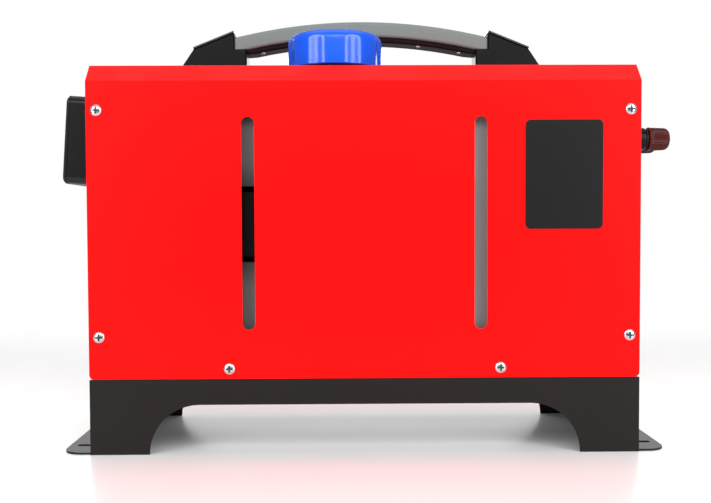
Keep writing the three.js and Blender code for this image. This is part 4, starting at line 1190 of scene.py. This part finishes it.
@dataclass(frozen=True)
class Innards:
    """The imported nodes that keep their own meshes, with the finishes that they take."""

    finishes: tuple[tuple[Finish, tuple[str, ...]], ...] = (
        (SEAL_RUBBER, ("filler_grommet", "cap_gasket", "suction_line", "delivery_line")),
        (BLACK_MOULDING, ("heater_casing_lower", "heater_casing_upper", "control_unit", "hot_air_fan")),
        (CAST_METAL, (
            "heat_exchanger", "combustion_chamber", "fan_housing", "combustion_fan", "power_supply",
        )),
        (DARK_STEEL, ("exhaust_pipe", "intake_pipe", "blower_motor", "dosing_pump")),
        (ZINC, ("glow_plug", "motor_shaft", "red_post_stud", "black_post_stud")),
    )

    def dress(self) -> None:
        """Gives each node its finish."""
        for finish, nodes in self.finishes:
            for node in nodes:
                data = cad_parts[node].data
                data.materials.clear()
                data.materials.append(finish.material())
                log.info("%s: keeps its mesh, in %s", node, finish.name)


# ---- Studio -------------------------------------------------------------------------------------

@dataclass(frozen=True)
class Lamp:
    """A soft box.

    Attributes:
        name: its name.
        at: where it stands, in metres.
        target: what it points at, in metres.
        size: its width and height, in metres.
        power: its power, in watts.
    """

    name: str
    at: tuple[float, float, float]
    target: tuple[float, float, float]
    size: tuple[float, float]
    power: float

    def hang(self) -> None:
        """Puts the soft box in the scene."""
        data = bpy.data.lights.new(self.name, "AREA")
        data.shape = "RECTANGLE"
        data.size, data.size_y = self.size
        data.energy = self.power
        lamp = bpy.data.objects.new(self.name, data)
        bpy.context.scene.collection.objects.link(lamp)
        aim = Vector(self.target) - Vector(self.at)
        lamp.location = self.at
        lamp.rotation_euler = aim.to_track_quat("-Z", "Y").to_euler()


@dataclass(frozen=True)
class Studio:
    """The camera, the lamps, the floor and the white surroundings."""

    eye: tuple[float, float, float] = (-0.01623, -0.74991, 0.16411)
    yaw: float = -0.01148
    pitch: float = -0.03926
    roll: float = 0.00413
    lens: float = 48.88
    sensor: float = 36.0
    shift: tuple[float, float] = (0.0036, 0.0123)
    ambient: float = 0.32
    floor_glow: float = 0.03
    fade: tuple[float, float] = (0.55, 1.0)
    floor_radius: float = 6.0
    lamps: tuple[Lamp, ...] = (
        Lamp("front_box", (0.1, -1.9, 1.35), (0, 0, 0.12), (1.8, 1.1), 21),
        Lamp("top_box", (0.0, 0.1, 1.6), (0, 0, 0.2), (1.6, 1.2), 6),
        Lamp("back_box", (0.0, 1.0, 0.45), (0, 0.3, 0), (1.6, 0.4), 6),
        Lamp("left_strip", (-0.75, -0.8, 0.5), (0, 0, 0.28), (0.34, 0.9), 7),
        Lamp("right_strip", (0.75, -0.8, 0.5), (0, 0, 0.28), (0.34, 0.9), 7),
    )

    def build(self) -> None:
        """Sets up the whole studio."""
        self.camera()
        self.floor()
        self.world()
        for lamp in self.lamps:
            lamp.hang()
        bpy.context.scene.view_settings.view_transform = "Standard"

    def camera(self) -> None:
        """Stands the camera where the photograph was taken from."""
        data = bpy.data.cameras.new("camera")
        data.sensor_fit, data.sensor_width = "HORIZONTAL", self.sensor
        data.lens = self.lens
        data.shift_x, data.shift_y = self.shift
        data.clip_start, data.clip_end = 0.01, 50
        camera = bpy.data.objects.new("camera", data)
        bpy.context.scene.collection.objects.link(camera)
        turn = (
            Matrix.Rotation(self.yaw, 3, "Z") @ Matrix.Rotation(self.pitch, 3, "X")
            @ Matrix.Rotation(self.roll, 3, "Y")
        )
        right, forward, up = turn.transposed()
        basis = Matrix((right, up, -forward)).transposed().to_4x4()
        camera.matrix_world = Matrix.Translation(self.eye) @ basis
        bpy.context.scene.camera = camera

    def floor(self) -> None:
        """Lays a plain white floor."""
        mesh = bmesh.new()
        bmesh.ops.create_circle(mesh, cap_ends=True, segments=96, radius=self.floor_radius)
        data = bpy.data.meshes.new("floor")
        mesh.to_mesh(data)
        mesh.free()
        material = bpy.data.materials.new("white_floor")
        material.use_nodes = True
        surface = material.node_tree.nodes["Principled BSDF"]
        surface.inputs["Base Color"].default_value = (0.94, 0.94, 0.94, 1)
        surface.inputs["Roughness"].default_value = 0.3
        surface.inputs["Specular IOR Level"].default_value = 0.4
        surface.inputs["Emission Color"].default_value = (1, 1, 1, 1)
        surface.inputs["Emission Strength"].default_value = self.floor_glow
        self.fade_out(material.node_tree, surface)
        data.materials.append(material)
        floor = bpy.data.objects.new("floor", data)
        bpy.context.scene.collection.objects.link(floor)

    def fade_out(self, tree: bpy.types.NodeTree, surface: bpy.types.Node) -> None:
        """Lets the floor fade into the white round it.

        Args:
            tree: the floor's material tree.
            surface: its Principled shader.
        """
        place = tree.nodes.new("ShaderNodeTexCoord")
        reach = tree.nodes.new("ShaderNodeVectorMath")
        reach.operation = "LENGTH"
        fade = tree.nodes.new("ShaderNodeMapRange")
        fade.interpolation_type = "SMOOTHSTEP"
        fade.inputs["From Min"].default_value, fade.inputs["From Max"].default_value = self.fade
        fade.inputs["To Min"].default_value, fade.inputs["To Max"].default_value = 1.0, 0.0
        tree.links.new(place.outputs["Object"], reach.inputs[0])
        tree.links.new(reach.outputs["Value"], fade.inputs["Value"])
        tree.links.new(fade.outputs[0], surface.inputs["Alpha"])

    def world(self) -> None:
        """Surrounds the scene with white: plain for the camera, softer as light."""
        world = bpy.data.worlds.new("white")
        bpy.context.scene.world = world
        world.use_nodes = True
        nodes, links = world.node_tree.nodes, world.node_tree.links
        background = nodes["Background"]
        background.inputs["Color"].default_value = (1, 1, 1, 1)
        path = nodes.new("ShaderNodeLightPath")
        seen = nodes.new("ShaderNodeMath")
        seen.operation = "MAXIMUM"
        strength = nodes.new("ShaderNodeMapRange")
        strength.inputs["To Min"].default_value = self.ambient
        strength.inputs["To Max"].default_value = 1.0
        links.new(path.outputs["Is Camera Ray"], seen.inputs[0])
        links.new(path.outputs["Is Transmission Ray"], seen.inputs[1])
        links.new(seen.outputs[0], strength.inputs["Value"])
        links.new(strength.outputs[0], background.inputs["Strength"])


def main() -> None:
    """Builds the heater and the studio, in order."""
    logging.basicConfig(level=logging.INFO, format="%(name)s: %(message)s")
    parts = (
        CaseWork(), BaseFrame(), FillerCap(), CarryHandle(), Controller(), BindingPosts(), MainsInlet(),
        OutletDuct(), FuelTank(),
    )
    for part in parts:
        part.build()
    Innards().dress()
    Studio().build()


if __name__ == "__main__":
    main()
